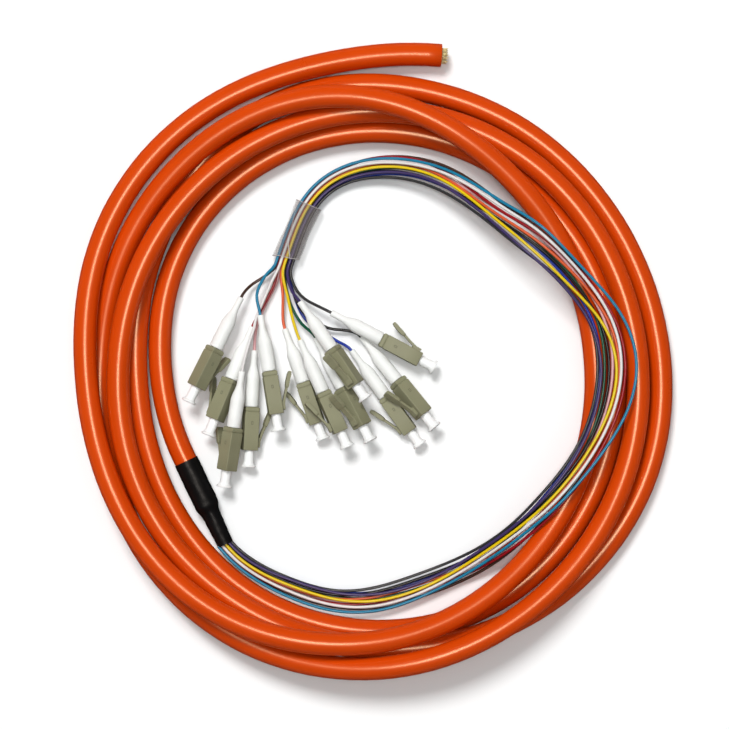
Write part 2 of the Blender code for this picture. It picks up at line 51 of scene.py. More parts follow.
UV_NAME = "run"
FULL_TURN = 2.0 * math.pi
GOLDEN_ANGLE = 2.39996
UP = (0.0, 0.0, 1.0)

# Stations of the coil's middle line: screen angles in degrees, with the distance out and height in mm.
CABLE_ANGLES = (-28, *range(-20, 1521, 20), 1542)
CABLE_PLACES = (
    (65.2, 4.0), (65.2, 3.8), (65.8, 3.5), (67.8, 3.5), (69.6, 3.5), (70.5, 3.5), (70.7, 3.5),
    (70.7, 3.5), (70.8, 3.5), (71.0, 3.5), (71.8, 3.5), (73.0, 3.5), (75.3, 3.5), (78.3, 3.5),
    (80.9, 3.5), (81.9, 3.5), (81.4, 3.5), (79.9, 3.7), (77.0, 4.5), (74.2, 5.5), (73.1, 6.1),
    (75.1, 5.2), (78.6, 4.1), (83.5, 3.6), (85.1, 3.5), (84.3, 3.5), (83.9, 3.5), (83.8, 3.5),
    (84.6, 3.5), (86.6, 3.5), (89.0, 3.5), (89.8, 3.9), (89.2, 6.2), (87.5, 8.5), (85.7, 9.7),
    (84.1, 10.4), (82.6, 11.0), (80.2, 11.6), (77.9, 12.2), (76.8, 12.5), (76.3, 11.4), (76.2, 9.9),
    (76.3, 8.7), (76.6, 8.0), (76.8, 7.9), (77.0, 8.1), (77.6, 8.2), (79.3, 8.4), (81.9, 8.9),
    (84.8, 11.1), (87.8, 13.7), (90.9, 15.2), (93.0, 12.4), (93.2, 8.6), (90.9, 5.1), (87.2, 3.6),
    (84.0, 3.9), (83.9, 6.4), (84.1, 9.3), (83.9, 12.1), (81.7, 14.3), (76.3, 15.5), (70.5, 13.5),
    (67.2, 10.8), (66.1, 8.3), (66.6, 7.3), (69.0, 7.5), (72.4, 8.3), (77.0, 11.2), (81.9, 14.7),
    (85.8, 17.2), (88.9, 16.2), (89.4, 14.2), (88.1, 12.4), (88.0, 11.0), (90.6, 9.6), (92.3, 8.3),
    (92.4, 6.9), (92.3, 5.6), (95.8, 4.1),
)
# Stations of the fibre bundle: angle, distance out, height and sideways pitch from fibre to fibre.
BUNDLE_STATIONS = (
    (309.7, 71.9, 3.9, 0.35), (306, 72.6, 3.8, 0.37), (300, 73.1, 3.4, 0.42),
    (290, 73.2, 2.7, 0.50), (280, 73.4, 2.3, 0.55), (270, 72.2, 2.2, 0.60),
    (260, 69.9, 2.2, 0.60), (250, 68.2, 2.8, 0.60), (240, 67.2, 5.4, 0.60),
    (230, 66.7, 10.2, 0.60), (220, 66.9, 13.3, 0.65), (210, 67.8, 14.0, 0.65),
    (200, 69.2, 13.7, 0.70), (190, 70.7, 13.3, 0.85), (180, 71.3, 13.1, 0.95),
    (170, 69.8, 13.3, 0.90), (160, 66.3, 14.1, 0.80), (150, 62.9, 15.3, 0.75),
    (140, 60.3, 15.6, 0.75), (130, 58.7, 13.5, 0.65), (120, 58.9, 10.3, 0.65),
    (110, 60.0, 7.4, 0.65), (100, 60.5, 5.2, 0.60), (90, 59.9, 3.9, 0.55),
    (80, 58.1, 3.0, 0.48), (70.2, 54.3, 2.7, 0.44), (60.0, 48.0, 2.7, 0.44),
    (52.0, 43.4, 2.7, 0.44), (46.4, 41.0, 2.7, 0.44),
)
# Slots in the bundle, from the outermost fibre inwards.
BUNDLE_ORDER = (
    "aqua", "brown", "red", "white", "rose", "orange",
    "yellow", "green", "black", "violet", "blue", "slate",
)
# How far outwards each fibre strays from its slot at each of these angles, in mm.
SWAY_ANGLES = (311, 302, 285, 260, 240, 220, 200, 180, 160, 140, 120, 100, 80, 60, 46)
FIBRE_SWAYS = {
    "aqua": (0, 0, 0.2, -0.4, -1.6, -1.2, 0.8, 2.0, -0.4, -0.1, -0.8, -1.2, -0.3, 0, 0),
    "brown": (0, 0, -0.3, 0.2, 0.9, -0.2, -0.8, -1.2, -0.6, -0.3, 0.3, 0.4, 0, 0, 0),
    "red": (0, 0, -0.5, -1.2, 0.6, 1.0, 1.2, 0.6, 0, -1.0, -1.4, 0.5, 0.3, 0, 0),
    "white": (0, 0, 0.1, 0.2, -1.2, -0.6, 0.4, 0.3, 0.3, 0.5, 0, -0.6, 0, 0, 0),
    "rose": (0, 0, -0.4, 0.8, 1.2, 0.4, -0.4, -1.2, -0.2, 0.3, -0.6, -0.3, 0, 0, 0),
    "orange": (0, 0, -0.3, -1.2, 0.4, 0.3, 1.6, 1.6, 0.4, -0.6, -1.0, 0.4, 0.2, 0, 0),
    "yellow": (0, 0, -0.2, 0.8, -0.6, 0, 1.0, 1.6, -2.0, -2.6, -1.2, -0.2, 0, 0, 0),
    "green": (0, 0, -0.2, 1.2, 1.2, 0.2, 0.2, -0.8, 0.6, 0.7, 0, 0.3, 0, 0, 0),
    "black": (0, 0, 0, -1.0, 0.2, 0.2, 1.2, 1.4, 1.0, 0.4, -0.6, -0.4, 0, 0, 0),
    "violet": (0, 0, -0.5, 0.9, 0, 0.3, 0.2, -0.2, -1.3, -1.9, -0.5, 0, 0, 0, 0),
    "blue": (0, 0, 0, 1.0, 1.4, 0.8, 0.4, 0.6, 1.4, 1.4, 0.8, 0.3, 0, 0, 0),
    "slate": (0, 0, 0.3, -0.6, 0.4, 0.3, 0.6, 0.8, 0.8, -0.8, -0.4, -0.5, 0, 0, 0),
}
# Places that each fibre passes between the sleeve and its boot, in mm.
FAN_ROUTES = {
    "brown": ((-33.4, 26.9, 2.2), (-38.3, 23.6, 2.6)),
    "red": ((-31.0, 24.4, 2.4), (-33.9, 18.4, 2.5)),
    "white": (
        (-32.1, 24.2, 3.6), (-35.2, 17.0, 3.75), (-36.6, 13.6, 4.1), (-37.1, 10.9, 5.0), (-39.0, 4.8, 6.4),
    ),
    "rose": ((-30.6, 24.2, 1.4), (-34.4, 16.5, 1.4), (-36.7, 10.0, 2.2)),
    "aqua": ((-34.0, 26.2, 4.5), (-36.3, 20.8, 5.2)),
    "orange": ((-28.4, 20.0, 2.6),),
    "yellow": ((-26.9, 20.0, 4.3),),
    "green": ((-26.6, 19.5, 2.1), (-23.2, 12.6, 2.7)),
    "violet": ((-25.9, 22.5, 5.6),),
    "blue": ((-25.1, 21.0, 1.6), (-21.4, 13.2, 1.6), (-12.6, 7.1, 2.0)),
    "black": ((-24.9, 20.6, 3.2), (-22.2, 15.5, 3.0), (-15.0, 10.8, 2.6)),
    "slate": ((-24.8, 23.2, 3.0), (-21.4, 19.3, 3.6)),
}
# The middle of each plug's back face in mm, and its turn about X, Y and Z in degrees.
PLUG_PLACES = {
    "brown": ((-48.8, 4.5, 6.1), (-131, -3, -116.5)),
    "red": ((-44.2, -5.0, 4.5), (118, -4, -112)),
    "white": ((-43.4, -19.6, 6.5), (135, 3, -99)),
    "rose": ((-38.0, -13.4, 3.2), (-105, 0, -93)),
    "aqua": ((-32.5, -2.5, 5.7), (-98, -1, -81)),
    "orange": ((-22.2, -5.9, 2.6), (95, 0, -71)),
    "yellow": ((-16.2, -8.8, 6.2), (80, 0, -66)),
    "green": ((-10.3, -7.5, 5.4), (40, -4, -62)),
    "violet": ((-13.5, 4.3, 8.8), (25, -2, -56)),
    "blue": ((2.7, -10.2, 2.6), (95, 0, -54)),
    "black": ((6.35, -5.45, 3.8), (55, -5, -51)),
    "slate": ((1.6, 7.2, 4.7), (-92, 2, -28)),
}


class BufferColour(Enum):
    """Colours of the twelve fibre buffers, as linear red, green and blue."""

    BROWN = (0.060, 0.030, 0.022)
    RED = (0.280, 0.007, 0.013)
    WHITE = (0.680, 0.650, 0.640)
    ROSE = (0.680, 0.360, 0.370)
    AQUA = (0.008, 0.180, 0.310)
    ORANGE = (0.640, 0.100, 0.030)
    YELLOW = (0.700, 0.500, 0.005)
    GREEN = (0.006, 0.080, 0.042)
    VIOLET = (0.048, 0.032, 0.115)
    BLUE = (0.006, 0.030, 0.300)
    BLACK = (0.008, 0.008, 0.009)
    SLATE = (0.034, 0.033, 0.034)


def smooth_through(stations: list | tuple, wanted: ndarray) -> ndarray:
    """Read a natural cubic curve through stations: a piecewise cubic whose bend is zero at both ends.

    Args:
        stations: rows of a place and the values there.
        wanted: places to read, in the same unit.

    Returns:
        One row of values for each wanted place.
    """
    table = np.array(sorted(stations), dtype=float)
    place, value = table[:, 0], table[:, 1:]
    step = np.diff(place)
    left = np.eye(len(place))
    right = np.zeros_like(value)
    inner = np.arange(1, len(place) - 1)
    left[inner, inner - 1] = step[:-1]
    left[inner, inner] = 2.0 * (step[:-1] + step[1:])
    left[inner, inner + 1] = step[1:]
    slope = np.diff(value, axis=0) / step[:, None]
    right[1:-1] = 6.0 * np.diff(slope, axis=0)
    bend = np.linalg.solve(left, right)
    k = np.clip(np.searchsorted(place, wanted, side="right") - 1, 0, len(place) - 2)
    h = step[k][:, None]
    past = (wanted - place[k])[:, None]
    ahead = (place[k + 1] - wanted)[:, None]
    curved = (bend[k] * ahead**3 + bend[k + 1] * past**3) / (6.0 * h)
    straight = (value[k] / h - bend[k] * h / 6.0) * ahead
    return curved + straight + (value[k + 1] / h - bend[k + 1] * h / 6.0) * past


def on_ring(angle: ndarray, radius: ndarray, height: ndarray) -> ndarray:
    """Turn places on the coil into points: minus cosine and sine of the angle, times the distance out.

    Args:
        angle: screen angles in degrees.
        radius: distances out in mm.
        height: heights in mm.

    Returns:
        Points in metres.
    """
    turn = np.radians(angle)
    flat = np.stack((-radius * np.cos(turn), radius * np.sin(turn), height), axis=-1)
    return flat * MM + ORIGIN_SHIFT


def unit(vectors: ndarray) -> ndarray:
    """Return the vectors scaled to a length of one."""
    return vectors / np.linalg.norm(vectors, axis=-1, keepdims=True)


def run_length(path: ndarray) -> ndarray:
    """Return the distance along a path at each of its points, from zero."""
    return np.concatenate(([0.0], np.cumsum(np.linalg.norm(np.diff(path, axis=0), axis=1))))


def even_spaced(path: ndarray, spacing: float) -> ndarray:
    """Resample a path so that its points lie about one spacing apart.

    Args:
        path: points along the path.
        spacing: the distance wanted between two points.

    Returns:
        The new points, with both ends kept.
    """
    run = run_length(path)
    wanted = np.linspace(0.0, run[-1], int(run[-1] / spacing) + 1)
    return np.stack([np.interp(wanted, run, path[:, i]) for i in range(3)], axis=-1)


def level_frames(path: ndarray) -> tuple[ndarray, ndarray, ndarray]:
    """Give each point of a path its direction, a level side and an upright across both.

    Args:
        path: points along the path.

    Returns:
        Directions, sides and uprights, one row a point.
    """
    ahead = unit(np.gradient(path, axis=0))
    side = unit(np.cross(ahead, UP))
    return ahead, side, np.cross(side, ahead)


def straight_frame(start: ndarray, tip: ndarray) -> tuple[float, ndarray, ndarray, ndarray]:
    """Give a straight piece its direction, a level side and an upright across both.

    Args:
        start: its first point.
        tip: its last point.

    Returns:
        Length, direction, side and upright.
    """
    length = float(np.linalg.norm(tip - start))
    ahead = (tip - start) / length
    side = unit(np.cross(ahead, UP))
    return length, ahead, side, np.cross(side, ahead)


def smooth_step(value: ndarray) -> ndarray:
    """Rise from 0 to 1 with level ends: three times the square less twice the cube."""
    held = np.clip(value, 0.0, 1.0)
    return held * held * (3.0 - 2.0 * held)


def linked(name: str, data: ID) -> Object:
    """Make an object and link it to the scene.

    Args:
        name: the object's name.
        data: the mesh, light or camera that it holds.

    Returns:
        The object.
    """
    item = bpy.data.objects.new(name, data)
    bpy.context.scene.collection.objects.link(item)
    return item


@dataclass
class Shell:
    """Collects surfaces that are worked out on grids and makes one mesh of them."""

    points: list = field(default_factory=list)
    faces: list = field(default_factory=list)
    uvs: list = field(default_factory=list)
    count: int = 0

    def lay(self, grid: ndarray, uv: ndarray, capped: bool = True) -> None:
        """Add a tube-like grid whose rows are closed rings, with its ends closed by fans.

        Args:
            grid: points by row and column.
            uv: map coordinates by row and column, one column more than the grid.
            capped: whether fans close the first and the last row.
        """
        rows, columns = grid.shape[:2]
        index = np.arange(rows * columns).reshape(rows, columns)
        after = np.roll(index, -1, axis=1)
        quads = np.stack((index[:-1], after[:-1], after[1:], index[1:]), axis=-1).reshape(-1, 4)
        corner = np.stack((uv[:-1, :-1], uv[:-1, 1:], uv[1:, 1:], uv[1:, :-1]), axis=2).reshape(-1, 4, 2)
        points = grid.reshape(-1, 3)
        fans = np.empty((0, 3), dtype=int)
        fan_uv = np.empty((0, 3, 2))
        if capped:
            hubs = np.stack((grid[0].mean(axis=0), grid[-1].mean(axis=0)))
            first = np.full(columns, len(points))
            last = first + 1
            points = np.concatenate((points, hubs))
            fans = np.concatenate((
                np.stack((after[0], index[0], first), axis=-1),
                np.stack((index[-1], after[-1], last), axis=-1),
            ))
            middle_first = (uv[0, :-1] + uv[0, 1:]) / 2.0
            middle_last = (uv[-1, :-1] + uv[-1, 1:]) / 2.0
            fan_uv = np.concatenate((
                np.stack((uv[0, 1:], uv[0, :-1], middle_first), axis=1),
                np.stack((uv[-1, :-1], uv[-1, 1:], middle_last), axis=1),
            ))
        if self.volume(points, quads) < 0.0:
            quads, corner = quads[:, ::-1], corner[:, ::-1]
            fans, fan_uv = fans[:, ::-1], fan_uv[:, ::-1]
        self.points.append(points)
        self.faces += (quads + self.count).tolist() + (fans + self.count).tolist()
        self.uvs += [corner.reshape(-1, 2), fan_uv.reshape(-1, 2)]
        self.count += len(points)

    @staticmethod
    def volume(points: ndarray, quads: ndarray) -> float:
        """Sum the signed volumes under the quads, seen from the points' middle.

        Args:
            points: the points.
            quads: four point numbers a face.

        Returns:
            Six times the volume, below zero where the faces point inwards.
        """
        spot = points - points.mean(axis=0)
        a, b, c, d = (spot[quads[:, i]] for i in range(4))
        halves = np.einsum("ij,ij->i", a, np.cross(b, c)) + np.einsum("ij,ij->i", a, np.cross(c, d))
        return float(halves.sum())

    def piece(self, name: str, material: Material, sharp: float) -> Object:
        """Make the mesh object, shaded smooth apart from edges sharper than an angle.

        Args:
            name: the piece's name.
            material: its finish.
            sharp: the angle in degrees above which an edge stays sharp.

        Returns:
            The new object, linked to the scene.
        """
        mesh = bpy.data.meshes.new(name)
        mesh.from_pydata(np.concatenate(self.points).tolist(), [], self.faces)
        layer = mesh.uv_layers.new(name=UV_NAME)
        layer.data.foreach_set("uv", np.concatenate(self.uvs).astype(np.float32).ravel())
        mesh.shade_smooth()
        mesh.set_sharp_from_angle(angle=math.radians(sharp))
        mesh.materials.append(material)
        return linked(name, mesh)


def ring_uv(along: ndarray, around: ndarray) -> ndarray:
    """Spread a distance for each row and a distance for each column into a map, seam included."""
    return np.stack(np.meshgrid(along, around, indexing="ij"), axis=-1)


def tube(
    name: str, grid: ndarray, along: ndarray, girth: float, material: Material, sharp: float,
    capped: bool = True,
) -> Object:
    """Make a piece of one tube-like grid.

    Args:
        name: the piece's name.
        grid: points by row and column.
        along: the map's distance for each row.
        girth: the map's width round the tube.
        material: the piece's finish.
        sharp: the angle in degrees above which an edge stays sharp.
        capped: whether fans close its ends.

    Returns:
        The piece.
    """
    shell = Shell()
    shell.lay(grid, ring_uv(along, np.linspace(0.0, girth, grid.shape[1] + 1)), capped)
    return shell.piece(name, material, sharp)


def sweep(centre: ndarray, side: ndarray, up: ndarray, radius: ndarray, sides: int) -> ndarray:
    """Carry a circle along a path: centre + radius * (cosine * side + sine * up), from the underside round.

    Args:
        centre: ring centres.
        side: level directions across the path, one a ring or one for all.
        up: directions across the path and the side, in the same way.
        radius: one radius a ring, or one a ring and column.
        sides: columns in a ring.

    Returns:
        The grid of points.
    """
    angle = np.linspace(0.0, FULL_TURN, sides, endpoint=False) - math.pi / 2.0
    across = np.cos(angle)[None, :, None] * np.atleast_2d(side)[:, None, :]
    ring = across + np.sin(angle)[None, :, None] * np.atleast_2d(up)[:, None, :]
    wide = radius[:, None] if radius.ndim == 1 else radius
    return centre[:, None, :] + wide[..., None] * ring


def turned(profile: ndarray, steps: int, place: Matrix) -> ndarray:
    """Turn a profile of X and radius about the X axis and put it in its place.

    Args:
        profile: rows of X and radius.
        steps: columns in a turn.
        place: the matrix from the profile's own axes to the world.

    Returns:
        The grid of points.
    """
    angle = np.linspace(0.0, FULL_TURN, steps, endpoint=False)
    x = np.broadcast_to(profile[:, :1], (len(profile), steps))
    y = profile[:, 1:] * np.cos(angle)
    z = profile[:, 1:] * np.sin(angle)
    return placed(np.stack((x, y, z), axis=-1), place)


def placed(grid: ndarray, place: Matrix) -> ndarray:
    """Move a grid of points by a matrix."""
    table = np.array(place)
    return grid @ table[:3, :3].T + table[:3, 3]


def four_quarters(degrees: tuple) -> ndarray:
    """Repeat the ray angles of one quarter, in degrees, round the full turn."""
    return np.concatenate([np.radians(degrees) + k * math.pi / 2.0 for k in range(4)])


def rounded_square(half: ndarray, corner: ndarray, angle: ndarray) -> tuple[ndarray, ndarray]:
    """Give the outline of squares with round corners: where a ray from the middle leaves the square.

    A ray that passes a flat side ends at half / max(|cosine|, |sine|). One that meets a corner ends on
    the corner's circle, whose centre lies half - corner out on both axes.

    Args:
        half: half the width of each square.
        corner: corner radius of each square.
        angle: angles of the rays.

    Returns:
        The two coordinates of the outline by square and ray.
    """
    c = np.abs(np.cos(angle))[None, :]
    s = np.abs(np.sin(angle))[None, :]
    h = half[:, None]
    middle = h - corner[:, None]
    flat = h / np.maximum(c, s)
    along = middle * (c + s)
    inside = np.maximum(along**2 - 2.0 * middle**2 + corner[:, None] ** 2, 0.0)
    arc = along + np.sqrt(inside)
    on_flat = flat * np.minimum(c, s) <= middle
    reach = np.where(on_flat, flat, arc)
    return reach * np.cos(angle), reach * np.sin(angle)


class Sock:
    """A shader value whose arithmetic adds Math nodes."""

    def __init__(self, bench: "Bench", socket: NodeSocket) -> None:
        """Keep the node table and the socket."""
        self.bench = bench
        self.socket = socket

    def maths(self, operation: str, first: "Sock | float", second: "Sock | float") -> "Sock":
        """Add a Math node with an operation on two values, and return its result."""
        return self.bench.add("ShaderNodeMath", {"operation": operation}, {0: first, 1: second})

    def __add__(self, other: "Sock | float") -> "Sock":
        """Return self + other."""
        return self.maths("ADD", self, other)

    __radd__ = __add__

    def __sub__(self, other: "Sock | float") -> "Sock":
        """Return self - other."""
        return self.maths("SUBTRACT", self, other)

    def __rsub__(self, other: float) -> "Sock":
        """Return other - self."""
        return self.maths("SUBTRACT", other, self)

    def __mul__(self, other: "Sock | float") -> "Sock":
        """Return self * other."""
        return self.maths("MULTIPLY", self, other)

    __rmul__ = __mul__

    def __lt__(self, other: "Sock | float") -> "Sock":
        """Return 1 where self is less than other, and 0 elsewhere."""
        return self.maths("LESS_THAN", self, other)

    def __abs__(self) -> "Sock":
        """Return the size of self."""
        return self.maths("ABSOLUTE", self, 0.0)


class Bench:
    """The node table of a material or of the world."""

    def __init__(self, holder: Material | World) -> None:
        """Keep the holder, a material or the world, and open its nodes.

        Args:
            holder: the material or world.
        """
        holder.use_nodes = True
        self.holder = holder
        self.nodes = holder.node_tree.nodes
        self.links = holder.node_tree.links

    @classmethod
    def finish(cls, name: str) -> "Bench":
        """Start a material with nothing but its Principled shader and output."""
        return cls(bpy.data.materials.new(f"{name}_finish"))

    def add(self, kind: str, settings: dict, values: dict, output: int | str = 0) -> Sock:
        """Add a node, set it, and fill its sockets with values or links.

        Args:
            kind: the node's type.
            settings: the node's own settings, set first.
            values: values or linked sockets by the socket's name or number.
            output: the socket to return.

        Returns:
            The node's output.
        """
        node = self.nodes.new(kind)
        for key, setting in settings.items():
            setattr(node, key, setting)
        for key, value in values.items():
            self.feed(node.inputs[key], value)
        return Sock(self, node.outputs[output])

    def feed(self, socket: NodeSocket, value: "Sock | float | tuple") -> None:
        """Link a value to a socket, or set it there.

        Args:
            socket: the socket to fill.
            value: a shader value, a number or a colour.
        """
        if isinstance(value, Sock):
            self.links.new(value.socket, socket)
        else:
            socket.default_value = value

    def here(self) -> Sock:
        """Return the Object coordinates."""
        return self.add("ShaderNodeTexCoord", {}, {}, "Object")

    def run(self) -> Sock:
        """Return the piece's own map: metres along and metres around."""
        return self.add("ShaderNodeUVMap", {"uv_map": UV_NAME}, {})

    def axes(self, vector: Sock) -> tuple[Sock, Sock, Sock]:
        """Split a vector.

        Args:
            vector: the vector.

        Returns:
            Its three values.
        """
        first = self.add("ShaderNodeSeparateXYZ", {}, {0: vector})
        outputs = first.socket.node.outputs
        return first, Sock(self, outputs[1]), Sock(self, outputs[2])

    def stretched(self, vector: Sock, scale: tuple) -> Sock:
        """Scale a vector's three values."""
        return self.add("ShaderNodeVectorMath", {"operation": "MULTIPLY"}, {0: vector, 1: scale})

    def noise(self, vector: Sock, scale: float, detail: float = 3.0) -> Sock:
        """Return a noise value from 0 to 1."""
        values = {"Vector": vector, "Scale": scale, "Detail": detail}
        return self.add("ShaderNodeTexNoise", {}, values, "Fac")

    def tinted(self, mask: Sock, low: tuple, high: tuple) -> Sock:
        """Mix two colours by a mask."""
        return self.over(mask, (*low, 1.0), high)

    def over(self, mask: Sock, low: "Sock | tuple", high: tuple) -> Sock:
        """Lay a colour over another one by a mask."""
        return self.add("ShaderNodeMix", {"data_type": "RGBA"}, {0: mask, 6: low, 7: (*high, 1.0)}, 2)

    def bumped(self, height: Sock, distance: float, strength: float = 1.0) -> Sock:
        """Return a normal that a height bends, with its depth in metres."""
        return self.add("ShaderNodeBump", {}, {"Height": height, "Distance": distance, "Strength": strength})

    def done(self, sockets: dict) -> Material:
        """Fill the Principled shader's sockets.

        Args:
            sockets: values by the socket's name.

        Returns:
            The finished material.
        """
        shader = self.nodes["Principled BSDF"]
        for key, value in sockets.items():
            self.feed(shader.inputs[key], value)
        return self.holder


def shade(colour: tuple, factor: float) -> tuple:
    """Return a colour made lighter or darker by a factor."""
    return tuple(min(1.0, part * factor) for part in colour)


@dataclass(frozen=True)
class JacketFinish:
    """Extruded orange jacket: faint lengthwise draw lines, a little mottle and a soft gloss."""

    colour: tuple = (0.600, 0.052, 0.0008)
    sheen: tuple = (1.0, 0.68, 0.40)
    draw_lines: float = 900.0
    mottle: float = 55.0
    grain: float = 2600.0
    depth: float = 0.00003
    roughness: float = 0.30
    coat: float = 0.08

    def make(self) -> Material:
        """Lay draw lines and grain over a mottled colour.

        Returns:
            The material.
        """
        bench = Bench.finish("jacket")
        run = bench.run()
        lines = bench.noise(bench.stretched(run, (0.02, 1.0, 1.0)), self.draw_lines, 2.0)
        patches = bench.noise(bench.here(), self.mottle, 4.0)
        grain = bench.noise(bench.here(), self.grain, 2.0)
        tone = lines * 0.35 + patches * 0.65
        base = bench.tinted(tone, shade(self.colour, 0.88), shade(self.colour, 1.12))
        return bench.done({
            "Base Color": base,
            "Roughness": patches * 0.10 + grain * 0.06 + (self.roughness - 0.08),
            "Coat Weight": self.coat,
            "Coat Roughness": 0.15,
            "Specular IOR Level": 0.55,
            "Specular Tint": (*self.sheen, 1.0),
            "Normal": bench.bumped(lines * 0.6 + grain * 0.4, self.depth),
        })


@dataclass(frozen=True)
class BufferFinish:
    """Thin glossy fibre buffer with faint draw lines and a little scuffing."""

    name: str
    colour: tuple
    draw_lines: float = 2200.0
    scuffs: float = 240.0
    line_depth: float = 0.000012

    def make(self) -> Material:
        """Lay draw lines over a scuffed colour.

        Returns:
            The material.
        """
        bench = Bench.finish(f"buffer_{self.name}")
        run = bench.run()
        lines = bench.noise(bench.stretched(run, (0.05, 1.0, 1.0)), self.draw_lines, 2.0)
        patches = bench.noise(bench.here(), self.scuffs, 3.0)
        base = bench.tinted(patches, shade(self.colour, 0.86), shade(self.colour, 1.14))
        return bench.done({
            "Base Color": base,
            "Roughness": lines * 0.10 + 0.24,
            "Specular IOR Level": 0.28,
            "Normal": bench.bumped(lines, self.line_depth),
        })


@dataclass(frozen=True)
class MouldedFinish:
    """Moulded plastic: fine spark-eroded grain and slow tone changes."""

    name: str
    colour: tuple
    roughness: float
    mottle: float = 180.0
    grain: float = 5200.0
    grain_depth: float = 0.000010
    gloss: float = 0.22
    marked: bool = False

    def make(self) -> Material:
        """Lay grain over slow tone changes, with a small blank recess outline on the flat sides if marked,
        bumped in and painted darker as painted shade in its groove.

        Returns:
            The material.
        """
        bench = Bench.finish(self.name)
        here = bench.here()
        patches = bench.noise(here, self.mottle, 4.0)
        grain = bench.noise(here, self.grain, 2.0)
        base = bench.tinted(patches, shade(self.colour, 0.90), shade(self.colour, 1.10))
        height = grain
        if self.marked:
            outline = self.recess_outline(bench)
            # Painted shade: the recess outline is painted darker, as shade in its groove; the bump below is
            # the real recess.
            base = bench.over(outline * 0.55, base, shade(self.colour, 0.35))
            height = grain * 0.3 - outline * 4.0
        return bench.done({
            "Base Color": base,
            "Roughness": patches * 0.12 + grain * 0.08 + (self.roughness - 0.10),
            "Specular IOR Level": self.gloss,
            "Normal": bench.bumped(height, self.grain_depth),
        })

    @staticmethod
    def recess_outline(bench: Bench) -> Sock:
        """Mark a small rectangle: inside the outer limits and not inside the inner ones.

        Args:
            bench: the housing's node table.

        Returns:
            The outline's mask, on the housing's flat sides, for the recess bump and its painted shade.
        """
        along, across, _ = bench.axes(bench.run())
        from_middle = abs(along - 0.0048)
        level = abs(across)
        outer = (from_middle < 0.00052) * (level < 0.00034)
        inner = (from_middle < 0.00034) * (level < 0.00018)
        return outer - inner


@dataclass(frozen=True)
class ShrinkFinish:
    """Black heat-shrink: satin black with a faint dusty bloom and fine wrinkles."""

    colour: tuple = (0.0036, 0.0034, 0.0035)
    bloom: float = 140.0
    wrinkles: float = 1100.0
    depth: float = 0.00007

    def make(self) -> Material:
        """Lay bloom and wrinkles over the black.

        Returns:
            The material.
        """
        bench = Bench.finish("shrink")
        bloom = bench.noise(bench.here(), self.bloom, 5.0)
        wrinkle = bench.noise(bench.stretched(bench.run(), (0.35, 1.0, 1.0)), self.wrinkles, 3.0)
        base = bench.tinted(bloom, shade(self.colour, 0.7), shade(self.colour, 1.9))
        return bench.done({
            "Base Color": base,
            "Roughness": bloom * 0.22 + 0.32,
            "Specular IOR Level": 0.12,
            "Normal": bench.bumped(wrinkle, self.depth),
        })


@dataclass(frozen=True)
class YarnFinish:
    """Cream strength yarn: fine filament lines and uneven straw tones."""

    light: tuple = (0.80, 0.70, 0.40)
    dark: tuple = (0.52, 0.38, 0.13)
    patches: float = 1500.0
    filaments: float = 9000.0
    depth: float = 0.00004

    def make(self) -> Material:
        """Lay filament lines over the straw tones.

        Returns:
            The material.
        """
        bench = Bench.finish("yarn")
        tone = bench.noise(bench.here(), self.patches, 3.0)
        filament = bench.noise(bench.stretched(bench.run(), (0.1, 1.0, 1.0)), self.filaments, 1.0)
        return bench.done({
            "Base Color": bench.tinted(tone, self.dark, self.light),
            "Roughness": filament * 0.2 + 0.55,
            "Normal": bench.bumped(filament, self.depth),
        })


@dataclass(frozen=True)
class FilmFinish:
    """Clear film: a thin grey-brown veil, with lighter lines painted along its edges and two slanting folds
    as painted highlight.
    """

    length: float
    girth: float
    colour: tuple = (0.27, 0.235, 0.225)
    edge_highlight_colour: tuple = (0.50, 0.46, 0.45)
    line: float = 0.00013
    haze: float = 200.0
    sag: float = 120.0
    depth: float = 0.0003

    def make(self) -> Material:
        """Make a see-through veil and lay painted highlight lines over it along its edges and folds.

        Returns:
            The material.
        """
        bench = Bench.finish("film")
        along, around, _ = bench.axes(bench.run())
        haze = bench.noise(bench.here(), self.haze, 2.0)
        sag = bench.noise(bench.stretched(bench.run(), (0.4, 1.0, 1.0)), self.sag, 0.0)
        # Painted highlight: lighter, more opaque lines at the ends, the two sides and two slanting folds,
        # where the film's edges and folds catch the light.
        ends = 1.0 - (abs(along - self.length / 2.0) < self.length / 2.0 - self.line * 1.6)
        sides = (abs(around - self.girth * 0.25) < self.line) + (abs(around - self.girth * 0.75) < self.line)
        first = abs(around - along * 0.22 - self.girth * 0.36) < self.line * 0.5
        second = abs(around + along * 0.12 - self.girth * 0.70) < self.line * 0.5
        lines = ends + sides + first + second
        veil = bench.tinted(haze, shade(self.colour, 0.85), shade(self.colour, 1.2))
        return bench.done({
            "Base Color": bench.over(lines, veil, self.edge_highlight_colour),
            "Roughness": haze * 0.15 + 0.40,
            "Alpha": haze * 0.08 + lines * 0.45 + 0.12,
            "Specular IOR Level": 0.08,
            "Normal": bench.bumped(sag, self.depth, 0.5),
        })


@dataclass(frozen=True)
class FloorFinish:
    """Plain white studio sweep."""

    colour: tuple = (0.90, 0.90, 0.90)

    def make(self) -> Material:
        """Make the plain finish.

        Returns:
            The material.
        """
        bench = Bench.finish("floor")
        return bench.done({"Base Color": (*self.colour, 1.0), "Roughness": 0.9, "Specular IOR Level": 0.1})


